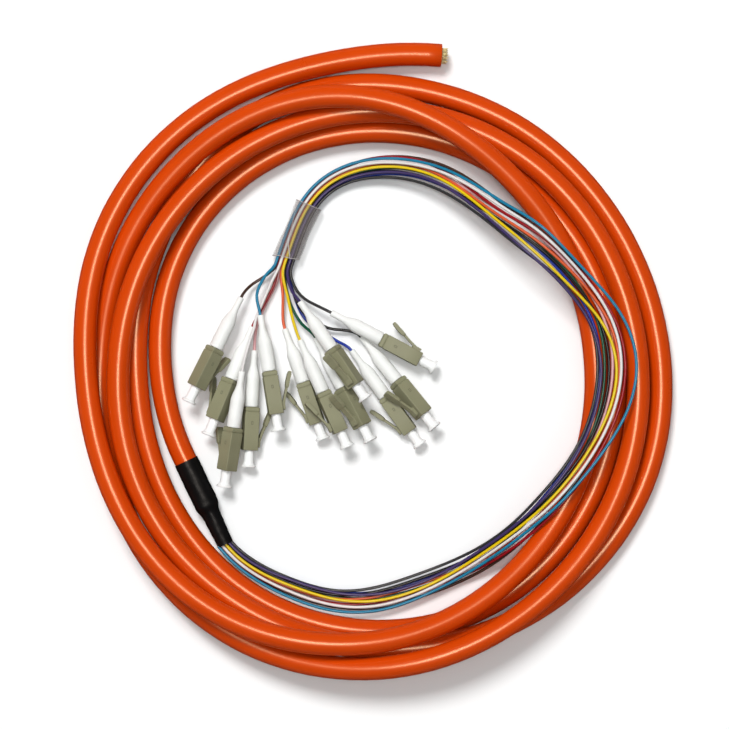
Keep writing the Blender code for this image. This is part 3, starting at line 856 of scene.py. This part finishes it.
@dataclass
class Cable:
    """The coiled cable: its jacket with a cut end, and the yarn that stands out of it."""

    diameter: float = 0.0070
    recess_diameter: float = 0.0050
    recess_depth: float = 0.0030
    lip: float = 0.00012
    yarn_reach: float = 0.0019
    yarn_strands: int = 90
    yarn_thickness: float = 0.00030
    angle_step: float = 2.5
    sides: int = 30

    def route(self) -> ndarray:
        """Read the middle line from the coil's stations.

        Returns:
            Points along it.
        """
        first, last = CABLE_ANGLES[0], CABLE_ANGLES[-1]
        angle = np.linspace(first, last, int((last - first) / self.angle_step) + 1)
        rows = smooth_through([(turn, *spot) for turn, spot in zip(CABLE_ANGLES, CABLE_PLACES)], angle)
        return on_ring(angle, rows[:, 0], rows[:, 1])

    def jacket(self, material: Material) -> Object:
        """Make the jacket: a circle along the route, then over the cut edge and down into its recess.

        The radius wavers by two slow sines of the run, together under one hundredth.

        Args:
            material: the jacket's finish.

        Returns:
            The jacket piece.
        """
        path = self.route()
        ahead, side, up = level_frames(path)
        outer = self.diameter / 2.0
        inner = self.recess_diameter / 2.0
        lip = self.lip
        back = np.array((lip, 0.0, 0.0, self.recess_depth * 0.5, self.recess_depth))
        tail_radius = np.array((outer, outer - lip, inner, inner, inner))
        tail = path[-1] - back[:, None] * ahead[-1]
        centre = np.concatenate((path[:-1], tail))
        sides = np.concatenate((side[:-1], np.repeat(side[-1:], len(back), axis=0)))
        ups = np.concatenate((up[:-1], np.repeat(up[-1:], len(back), axis=0)))
        run = run_length(path)
        waver = 1.0 + 0.004 * np.sin(run[:-1] * 310.0) + 0.003 * np.sin(run[:-1] * 87.0 + 1.0)
        radius = np.concatenate((outer * waver, tail_radius))
        radius[:1] = outer
        grid = sweep(centre, sides, ups, radius, self.sides)
        along = np.concatenate((run[:-1], run[-1] + outer - tail_radius + back * 0.2))
        return tube("cable_jacket", grid, along, math.pi * self.diameter, material, 50.0)

    def yarn(self, material: Material) -> Object:
        """Make the tuft of yarn: strands on a spiral of places, each cut at its own length and leaning out.

        A strand's place is the golden-angle spiral, radius times the root of its share. It runs straight
        out of the recess and then leans from the middle with the square of its reach.

        Args:
            material: the yarn's finish.

        Returns:
            The yarn piece.
        """
        draw = np.random.default_rng(7)
        path = self.route()
        ahead, side, up = level_frames(path)
        count = self.yarn_strands
        share = (np.arange(count) + 0.5) / count
        turn = np.arange(count) * GOLDEN_ANGLE
        reach_out = (self.recess_diameter / 2.0 - self.yarn_thickness) * np.sqrt(share)
        length = self.yarn_reach * draw.uniform(0.55, 1.1, count)
        lean = draw.normal(0.10, 0.14, count)
        swirl = draw.normal(0.0, 0.25, count)
        t = np.linspace(0.0, 1.0, 7)
        start = -self.recess_depth + 0.0002
        depth = start + t[None, :] * (length - start)[:, None]
        spread = reach_out[:, None] * (1.0 + (lean[:, None] * t[None, :] ** 2))
        angle = turn[:, None] + swirl[:, None] * t[None, :] ** 2
        thin = np.where(t > 0.95, 0.45, 1.0) * self.yarn_thickness / 2.0
        shell = Shell()
        for k in range(count):
            centre = (
                path[-1]
                + depth[k][:, None] * ahead[-1]
                + (spread[k] * np.cos(angle[k]))[:, None] * side[-1]
                + (spread[k] * np.sin(angle[k]))[:, None] * up[-1]
            )
            grid = sweep(centre, side[-1], up[-1], thin * draw.uniform(0.8, 1.25), 6)
            shell.lay(grid, ring_uv(depth[k], np.linspace(0.0, self.yarn_thickness * math.pi, 7) + k * 0.001))
        return shell.piece("strength_yarn", material, 60.0)


@dataclass
class Transition:
    """The black heat-shrink piece that gathers the fibres out of the cable; its tip is in mm."""

    tip: tuple = (-45.9, -55.3, 3.9)
    wide: float = 0.00375
    neck: float = 0.0028
    mouth: float = 0.0025
    wall: float = 0.00035
    lap: float = 0.0008
    step_share: tuple = (0.50, 0.13)
    taper_share: tuple = (0.62, 0.38)
    steps: int = 40

    def ends(self) -> tuple[ndarray, ndarray]:
        """Return the wide end's middle and the tip."""
        return Cable().route()[0], np.array(self.tip) * MM + ORIGIN_SHIFT

    def piece(self, material: Material) -> Object:
        """Make the transition: its radius steps down smoothly, with shallow folds where it has shrunk.

        Args:
            material: its finish.

        Returns:
            The transition piece.
        """
        start, tip = self.ends()
        length, ahead, side, up = straight_frame(start, tip)
        run = np.linspace(-self.lap, length, 70)
        share = run / length
        (step, step_long), (taper, taper_long) = self.step_share, self.taper_share
        radius = self.wide + (self.neck - self.wide) * smooth_step((share - step) / step_long)
        radius += (self.mouth - self.neck) * smooth_step((share - taper) / taper_long)
        angle = np.linspace(0.0, FULL_TURN, self.steps, endpoint=False)
        window = np.exp(-(((share - 0.56) / 0.10) ** 2)) + 0.35
        broad = np.sin(3.0 * angle[None, :] + 14.0 * share[:, None])
        folds = broad + np.sin(5.0 * angle[None, :] - 23.0 * share[:, None])
        ripple = 0.00005 * window[:, None] * folds + 0.00003 * np.sin(62.0 * share)[:, None]
        body = radius[:, None] + ripple
        lip_run = np.array((0.0004, -self.lap))
        lip = np.full((2, self.steps), self.wide - self.wall * 0.75)
        end_run = np.array((length, length - 0.0012))
        end = np.stack((body[-1] - self.wall, body[-1] - self.wall * 1.3))
        runs = np.concatenate((lip_run, run, end_run))
        wide = np.concatenate((lip, body, end))
        grid = sweep(start + runs[:, None] * ahead, side, up, wide, self.steps)
        return tube("shrink_transition", grid, runs, FULL_TURN * self.neck, material, 50.0)


@dataclass
class Plug:
    """One small-form plug: housing with latch, strain-relief boot and dust cap."""

    colour: str
    length: float = 0.0132
    half: float = 0.00225
    edge: float = 0.00022
    collar: float = 0.0013
    mouth: float = 0.0018
    mouth_depth: float = 0.0036
    pin: float = 0.000625
    boot_length: float = 0.0173
    boot_radius: float = 0.00215
    boot_body: float = 0.0082
    boot_tip: float = 0.0010
    boot_tip_length: float = 0.0036
    boot_bore: float = 0.00056
    cap_radius: float = 0.0015
    cap_flange: float = 0.00225
    cap_inside: float = 0.0030
    cap_outside: float = 0.0052
    cap_bore_depth: float = 0.0036
    cap_play: float = 0.0003
    steps: int = 40

    def place(self) -> Matrix:
        """Work out where the plug lies.

        Returns:
            Its matrix: X to the mating end, Z to the latch.
        """
        spot, turn = PLUG_PLACES[self.colour]
        where = Vector(spot) * MM + Vector(ORIGIN_SHIFT)
        lean = Euler([math.radians(angle) for angle in turn], "XYZ")
        return Matrix.Translation(where) @ lean.to_matrix().to_4x4()

    def housing(self, material: Material) -> Object:
        """Make the housing and its latch.

        The housing is a square with round corners that is carried along X: a chamfered collar, a groove,
        the body, the front edge, and then as a circle into the mouth and back out over the ferrule pin.

        Args:
            material: its finish.

        Returns:
            The housing piece.
        """
        h, e, front = self.half, self.edge, self.length
        floor = front - self.mouth_depth
        rows = np.array((
            (0.0, h * 0.72, h * 0.5), (0.0, h - 0.00038, e), (0.00025, h - 0.00012, e),
            (0.0004, h - 0.00006, e), (self.collar - 0.0001, h - 0.00006, e), (self.collar, h - 0.0001, e),
            (self.collar + 0.00008, h - 0.0002, e), (self.collar + 0.00018, h - 0.0002, e),
            (self.collar + 0.0003, h - 0.00003, e), (self.collar + 0.0004, h, e), (front * 0.35, h, e),
            (front * 0.65, h, e), (front - 0.00022, h, e), (front - 0.0001, h - 0.00005, e),
            (front - 0.00002, h - 0.00016, e), (front, h - 0.0003, e * 1.3),
            (front, self.mouth + 0.00012, self.mouth + 0.00012), (front - 0.00012, self.mouth, self.mouth),
            (floor, self.mouth, self.mouth), (floor, self.pin, self.pin),
            (front - 0.00025, self.pin, self.pin), (front - 0.00005, self.pin * 0.8, self.pin * 0.8),
            (front, self.pin * 0.45, self.pin * 0.45),
        ))
        angle = four_quarters((0, 16, 28, 35, 38.5, 40.5, 42, 43.5, 45, 46.5, 48, 49.5, 51.5, 55, 62, 74))
        y, z = rounded_square(rows[:, 1], rows[:, 2], angle)
        x = np.broadcast_to(rows[:, :1], y.shape)
        grid = np.stack((x, y, z), axis=-1)
        flat = np.stack((x, z), axis=-1)
        uv = np.concatenate((flat, flat[:, :1]), axis=1)
        shell = Shell()
        shell.lay(placed(grid, self.place()), uv)
        self.latch(shell)
        return shell.piece(f"connector_{self.colour}", material, 32.0)

    def latch(self, shell: Shell) -> None:
        """Add the latch: a block near the front, and an arm from it, back and up to a ridged thumb tab.

        Each station gives the run, X, Z, half the width and half the thickness in mm.

        Args:
            shell: the mesh to add it to.
        """
        block = np.array((
            (0.00, 12.12, 2.52, 0.98, 0.42), (0.10, 12.06, 2.55, 1.08, 0.52), (0.22, 11.94, 2.56, 1.10, 0.56),
            (1.00, 11.20, 2.57, 1.10, 0.58), (2.40, 9.75, 2.57, 1.10, 0.58), (2.62, 9.50, 2.54, 1.08, 0.52),
            (2.72, 9.40, 2.50, 0.98, 0.40),
        ))
        self.bar(shell, block[:, 1:])
        stations = np.array((
            (0.00, 11.40, 2.62, 0.84, 0.22), (0.90, 10.60, 2.80, 0.90, 0.34), (1.80, 9.75, 3.02, 0.90, 0.36),
            (3.20, 8.40, 3.42, 0.90, 0.36), (4.80, 6.90, 3.98, 0.90, 0.36), (6.00, 5.80, 4.40, 0.92, 0.37),
            (6.35, 5.48, 4.52, 1.24, 0.50), (7.00, 4.88, 4.70, 1.30, 0.58), (8.60, 3.40, 5.20, 1.30, 0.56),
            (10.2, 1.95, 5.78, 1.30, 0.56), (11.0, 1.24, 6.12, 1.28, 0.52), (11.3, 0.96, 6.24, 1.14, 0.34),
        ))
        run = np.concatenate((np.linspace(0.0, 5.8, 18), np.linspace(6.0, 11.3, 46)))
        line = np.stack([np.interp(run, stations[:, 0], stations[:, i]) for i in (1, 2, 3, 4)], axis=-1)
        for _ in range(2):
            line[1:-1, :2] = (line[:-2, :2] + 2.0 * line[1:-1, :2] + line[2:, :2]) / 4.0
        ridge = 0.07 * (np.sin((run - 7.6) * FULL_TURN / 0.62) > 0.0) * ((run > 7.6) & (run < 10.4))
        line[:, 3] += ridge
        self.bar(shell, line)

    def bar(self, shell: Shell, line: ndarray) -> None:
        """Add a bar: a rounded square, stretched to each station's size, across the line through them.

        Args:
            shell: the mesh to add it to.
            line: rows of X, Z, half the width and half the thickness, in mm.
        """
        centre = np.stack((line[:, 0], np.zeros(len(line)), line[:, 1]), axis=-1) * MM
        ahead = unit(np.gradient(centre, axis=0))
        across = np.array((0.0, 1.0, 0.0))
        lift = np.cross(ahead, across)
        angle = four_quarters((0, 24, 37, 42, 45, 48, 53, 66))
        a, b = rounded_square(np.ones(len(line)), np.full(len(line), 0.16), angle)
        wide = line[:, 2:3] * a * MM
        high = line[:, 3:4] * b * MM
        grid = centre[:, None, :] + wide[..., None] * across + high[..., None] * lift[:, None, :]
        uv = ring_uv(run_length(centre), np.linspace(0.005, 0.013, len(angle) + 1))
        shell.lay(placed(grid, self.place()), uv)

    def turned_piece(
        self, name: str, profile: ndarray, wide: float, material: Material
    ) -> Object:
        """Make a piece by turning a profile about the plug's axis.

        Args:
            name: the piece's name without its colour.
            profile: rows of X and radius.
            wide: the radius at which the map is true to size.
            material: its finish.

        Returns:
            The piece.
        """
        grid = turned(profile, self.steps, self.place())
        return tube(f"{name}_{self.colour}", grid, run_length(profile), FULL_TURN * wide, material, 40.0)

    def boot(self, material: Material) -> Object:
        """Make the boot: a cylinder that narrows by a smooth step to a slim tip with a blind bore.

        Args:
            material: its finish.

        Returns:
            The boot piece.
        """
        tip = -self.boot_length
        begin, stop = -self.boot_body, tip + self.boot_tip_length
        x = np.linspace(begin, stop, 22)
        share = smooth_step((x - begin) / (stop - begin))
        radius = self.boot_radius + (self.boot_tip - self.boot_radius) * share
        flare = np.stack((x, radius), axis=-1)
        r, t, bore = self.boot_radius, self.boot_tip, self.boot_bore
        front = np.array((
            (-0.0001, r * 0.5), (-0.0001, r - 0.00018), (-0.00022, r - 0.00004), (-0.0004, r), (-0.004, r),
        ))
        end = np.array((
            (tip + 0.0012, t * 0.99), (tip + 0.00022, t * 0.97), (tip + 0.00005, t * 0.92), (tip, t * 0.80),
            (tip, bore + 0.0001), (tip + 0.0001, bore), (tip + 0.004, bore),
        ))
        return self.turned_piece("strain_boot", np.concatenate((front, flare, end)), r, material)

    def cap(self, material: Material) -> Object:
        """Make the dust cap: a tube over the ferrule that flares to a thin round flange.

        Args:
            material: its finish.

        Returns:
            The dust cap piece.
        """
        r, flange = self.cap_radius, self.cap_flange
        back = self.length - self.cap_inside
        end = self.length + self.cap_outside
        x = np.linspace(0.0, 1.0, 8)
        flare = np.stack((end - 0.0016 + 0.00105 * x, r + (flange - 0.0001 - r) * x**2.4), axis=-1)
        bore = self.pin + self.cap_play
        floor = back + self.cap_bore_depth
        front = np.array((
            (floor, 0.0003), (floor, bore), (back, bore), (back, r - 0.00012),
            (back + 0.00012, r - 0.00003), (back + 0.002, r - 0.00002), (self.length + 0.001, r),
        ))
        tail = np.array((
            (end - 0.00048, flange), (end - 0.00012, flange), (end - 0.00003, flange - 0.00006),
            (end, flange - 0.00018), (end, flange * 0.62), (end - 0.00025, flange * 0.56),
            (end - 0.0003, flange * 0.2),
        ))
        return self.turned_piece("dust_cap", np.concatenate((front, flare, tail)), r, material)


@dataclass
class Bundle:
    """The twelve fibres from the transition, through the sleeve and out to their boots."""

    diameter: float = 0.0009
    rows: int = 3
    row_pitch: float = 1.05
    seat: float = 0.0035
    hidden: float = 0.0010
    sides: int = 12
    spacing: float = 0.0016

    def angles(self) -> ndarray:
        """Return the screen angles at which the bundle is read, from the transition to the sleeve's end."""
        return np.linspace(BUNDLE_STATIONS[0][0], BUNDLE_STATIONS[-1][0], 200)

    def sway(self, colour: str) -> ndarray:
        """Return how far outwards a fibre strays from its slot at those angles, in metres."""
        return smooth_through(list(zip(SWAY_ANGLES, FIBRE_SWAYS[colour])), self.angles())[:, 0] * MM

    def frames(self) -> tuple[ndarray, ndarray, ndarray]:
        """Read the bundle from its stations.

        Returns:
            Its middle line, its outward sides and its sideways pitch.
        """
        angle = self.angles()
        rows = smooth_through(BUNDLE_STATIONS, angle)
        middle = on_ring(angle, rows[:, 0], rows[:, 1])
        ahead = np.gradient(middle, axis=0)
        outward = unit(np.stack((ahead[:, 1], -ahead[:, 0], np.zeros(len(ahead))), axis=-1))
        return middle, outward, rows[:, 2] * MM

    def route(self, colour: str) -> ndarray:
        """Return one fibre's middle line from inside the transition to its seat in the boot.

        In the bundle a fibre keeps its slot: sideways by its pitch and up or down by its row. Beyond the
        sleeve it follows cubic Hermite pieces through its chosen places.

        Args:
            colour: the fibre's colour.

        Returns:
            Points along the fibre.
        """
        slot = BUNDLE_ORDER.index(colour)
        shift = (slot + self.rows - 1) % self.rows - (self.rows - 1) / 2
        middle, outward, pitch = self.frames()
        aside = ((len(BUNDLE_ORDER) - 1) / 2 - slot) * pitch + self.sway(colour)
        lifted = np.array((0.0, 0.0, shift * self.row_pitch * MM))
        run = middle + outward * aside[:, None] + lifted
        place = Plug(colour).place()
        arrive = np.array(place.to_3x3() @ Vector((1.0, 0.0, 0.0)))
        tip = np.array(place @ Vector((-Plug(colour).boot_length, 0.0, 0.0)))
        vias = [np.array(spot) * MM + ORIGIN_SHIFT for spot in FAN_ROUTES[colour]]
        leave = unit(middle[-1] - middle[-8])
        fan = self.fan(run[-1], leave, vias, tip, arrive)
        start = run[:1] - unit(run[1] - run[0]) * self.hidden
        return even_spaced(np.concatenate((start, run, fan, tip[None, :] + arrive * self.seat)), self.spacing)

    @staticmethod
    def fan(
        begin: ndarray, leave: ndarray, vias: list, tip: ndarray, arrive: ndarray
    ) -> ndarray:
        """Join places by cubic Hermite pieces, each pulled by the directions at its two ends.

        Args:
            begin: where the fibre leaves the sleeve.
            leave: its direction there.
            vias: the chosen places between.
            tip: the boot's tip.
            arrive: the boot's direction.

        Returns:
            Points after the first place.
        """
        places = np.array([begin, *vias, tip])
        gaps = np.linalg.norm(np.diff(places, axis=0), axis=1)
        across = unit(places[2:] - places[:-2]) * np.minimum(gaps[1:], gaps[:-1])[:, None]
        pulls = np.concatenate((leave[None] * gaps[0], across, arrive[None] * gaps[-1]))
        t = np.linspace(0.0, 1.0, 17)[1:, None]
        pieces = [
            places[i] * (2 * t**3 - 3 * t**2 + 1)
            + places[i + 1] * (3 * t**2 - 2 * t**3)
            + pulls[i] * (t**3 - 2 * t**2 + t)
            + pulls[i + 1] * (t**3 - t**2)
            for i in range(len(gaps))
        ]
        return np.concatenate(pieces)

    def piece(self, colour: str, path: ndarray, material: Material) -> Object:
        """Make one fibre: a circle along its route.

        Args:
            colour: the fibre's colour.
            path: its middle line.
            material: its finish.

        Returns:
            The fibre piece.
        """
        _, side, up = level_frames(path)
        grid = sweep(path, side, up, np.full(len(path), self.diameter / 2.0), self.sides)
        return tube(f"buffer_{colour}", grid, run_length(path), math.pi * self.diameter, material, 60.0)


@dataclass
class FilmSleeve:
    """The clear film wrapped round the bundle before it fans out."""

    half_width: float = 0.0038
    half_height: float = 0.0020
    wall: float = 0.0003
    start_angle: float = 67.0
    end_angle: float = 49.5
    end_slant: float = 0.0011
    steps: int = 72

    def ends(self) -> ndarray:
        """Find the sleeve's place on the bundle.

        Returns:
            The middles of its two ends.
        """
        angles = np.array((self.start_angle, self.end_angle))
        rows = smooth_through(BUNDLE_STATIONS, angles)
        return on_ring(angles, rows[:, 0], rows[:, 1])

    def finish(self) -> Material:
        """Return the film finish cut to this sleeve's length and girth."""
        start, end = self.ends()
        return FilmFinish(float(np.linalg.norm(end - start)), FULL_TURN * self.half_width).make()

    def piece(self, material: Material) -> Object:
        """Make the sleeve: a flattened oval along the bundle, with creases, turned in at both open ends.

        The oval is a superellipse; its radius is raised and lowered by slanting ridges whose phase runs
        both along and around.

        Args:
            material: its finish.

        Returns:
            The sleeve piece.
        """
        start, end = self.ends()
        length, ahead, side, up = straight_frame(start, end)
        run = np.linspace(0.0, length, 60)
        share = run / length
        angle = np.linspace(0.0, FULL_TURN, self.steps, endpoint=False) - math.pi / 2.0
        a = np.sign(np.cos(angle)) * np.abs(np.cos(angle)) ** 0.62
        b = np.sign(np.sin(angle)) * np.abs(np.sin(angle)) ** 0.62
        phase = 1.3 * share[:, None] * math.pi + 2.0 * angle[None, :]
        crease = (1.0 - np.abs(np.sin(phase))) ** 3
        waist = 1.0 - 0.06 * np.sin(math.pi * share) ** 2
        swell = 0.00010 * crease
        slant = (self.end_slant * share**3)[:, None] * np.cos(angle)[None, :]

        def wall_at(extra: float) -> ndarray:
            """Work out the oval tube at one distance from its inside.

            Args:
                extra: the distance outside the inner wall.

            Returns:
                The grid of points.
            """
            wide = (self.half_width + extra) * waist[:, None] * a[None, :] + swell * np.cos(angle)[None, :]
            high = (self.half_height + extra) * b[None, :] + swell * np.sin(angle)[None, :]
            reach = run[:, None] + slant
            return start + reach[..., None] * ahead + wide[..., None] * side + high[..., None] * up

        grid = np.concatenate((wall_at(self.wall), wall_at(0.00002)[::-1], wall_at(self.wall)[:1]))
        along = np.concatenate((run, run[::-1], run[:1]))
        girth = FULL_TURN * self.half_width
        return tube("clear_sleeve", grid, along, girth, material, 70.0, capped=False)


@dataclass(frozen=True)
class Lamp:
    """A round area light that faces the origin and lights matt surfaces, or else only glossy ones."""

    name: str
    place: tuple
    size: float
    power: float
    tint: tuple = (1.0, 1.0, 1.0)
    matt: bool = True

    def hang(self) -> None:
        """Add the light to the scene."""
        data = bpy.data.lights.new(self.name, "AREA")
        data.shape = "DISK"
        data.size = self.size
        data.energy = self.power
        data.color = self.tint
        item = linked(self.name, data)
        item.location = self.place
        item.visible_diffuse = self.matt
        item.visible_glossy = not self.matt
        item.rotation_euler = (-Vector(self.place)).to_track_quat("-Z", "Y").to_euler()


@dataclass
class Studio:
    """White sweep, soft lights and the camera straight above."""

    floor_level: float = -0.00016
    floor_size: float = 3.0
    camera_place: tuple = (-0.00282, -0.00141, 1.0)
    lens: float = 161.4

    def camera(self) -> Object:
        """Add the camera and make it the scene's own.

        Returns:
            The camera.
        """
        data = bpy.data.cameras.new("camera")
        data.lens = self.lens
        data.clip_start = 0.01
        item = linked("camera", data)
        item.location = self.camera_place
        bpy.context.scene.camera = item
        return item

    def floor(self) -> None:
        """Add the floor: a level square."""
        half = self.floor_size / 2.0
        corners = [(-half, -half), (half, -half), (half, half), (-half, half)]
        mesh = bpy.data.meshes.new("studio_floor")
        mesh.from_pydata([(x, y, self.floor_level) for x, y in corners], [], [(0, 1, 2, 3)])
        mesh.materials.append(FloorFinish().make())
        item = linked("studio_floor", mesh)
        item.visible_glossy = False

    def lights(self) -> None:
        """Add a soft key from above the picture, an overhead pair and a surround that darkens downwards."""
        Lamp("key", (-0.64, 1.52, 2.68), 1.05, 77.0).hang()
        Lamp("overhead", (0.0, 0.03, 1.80), 0.30, 6.4).hang()
        Lamp("highlight", (0.0, 0.03, 1.35), 0.42, 14.0, (1.0, 0.92, 0.84), matt=False).hang()
        world = bpy.data.worlds.new("surround")
        bpy.context.scene.world = world
        world.cycles_visibility.glossy = False
        bench = Bench(world)
        _, _, height = bench.axes(bench.add("ShaderNodeTexCoord", {}, {}, "Generated"))
        background = bench.nodes["Background"]
        bench.feed(background.inputs["Color"], (0.95, 1.0, 0.985, 1.0))
        bench.feed(background.inputs["Strength"], height * 0.44 + 0.06)
        bpy.context.scene.view_settings.view_transform = "Standard"


def attach(piece: Object, body: str, slot: str, *nodes: str) -> None:
    """Let a piece ride on a body and stand for nodes.

    Args:
        piece: the piece.
        body: the body that it rides on.
        slot: not used.
        nodes: the CAD nodes that it replaces.
    """
    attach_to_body(piece, body)
    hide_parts(*nodes)
    LOG.info("%s rides on %s for %s", piece.name, body, ", ".join(nodes))


def build_cable() -> None:
    cable = Cable()
    jacket = cable.jacket(JacketFinish().make())
    attach(jacket, MAIN_BODY, "jacket", "jacket")
    yarn = cable.yarn(YarnFinish().make())
    attach(yarn, MAIN_BODY, "yarn", "aramid_yarn")
    path = cable.route()


def build_plugs() -> None:
    bundle = Bundle()
    white = MouldedFinish("boot_plastic", (0.80, 0.80, 0.78), 0.42).make()
    clear_white = MouldedFinish("cap_plastic", (0.86, 0.86, 0.85), 0.30).make()
    olive = MouldedFinish("housing", (0.232, 0.226, 0.138), 0.48, marked=True).make()
    exit_point = tuple(Transition().ends()[1])
    for shade_of in BufferColour:
        colour = shade_of.name.lower()
        plug = Plug(colour)
        path = bundle.route(colour)
        fibre = bundle.piece(colour, path, BufferFinish(colour, shade_of.value).make())
        attach(fibre, MAIN_BODY, f"fibre_{colour}", f"fibre_{colour}")
        housing = plug.housing(olive)
        attach(housing, MAIN_BODY, "housing", f"plug_{colour}")
        boot = plug.boot(white)
        attach(boot, MAIN_BODY, "white_plastic", f"boot_{colour}")
        cap = plug.cap(clear_white)
        attach(cap, f"cap_{colour}", "white_plastic", f"cap_{colour}")


def main() -> None:
    """Build the studio, the cords and the rest of the pigtail."""
    logging.basicConfig(level=logging.INFO, format="%(message)s")
    studio = Studio()
    studio.camera()
    build_cable()
    build_plugs()
    attach(Transition().piece(ShrinkFinish().make()), MAIN_BODY, "heat_shrink", "heat_shrink_transition")
    sleeve = FilmSleeve()
    attach(sleeve.piece(sleeve.finish()), MAIN_BODY, "film", "film_sleeve")
    studio.floor()
    studio.lights()


if __name__ == "__main__":
    main()
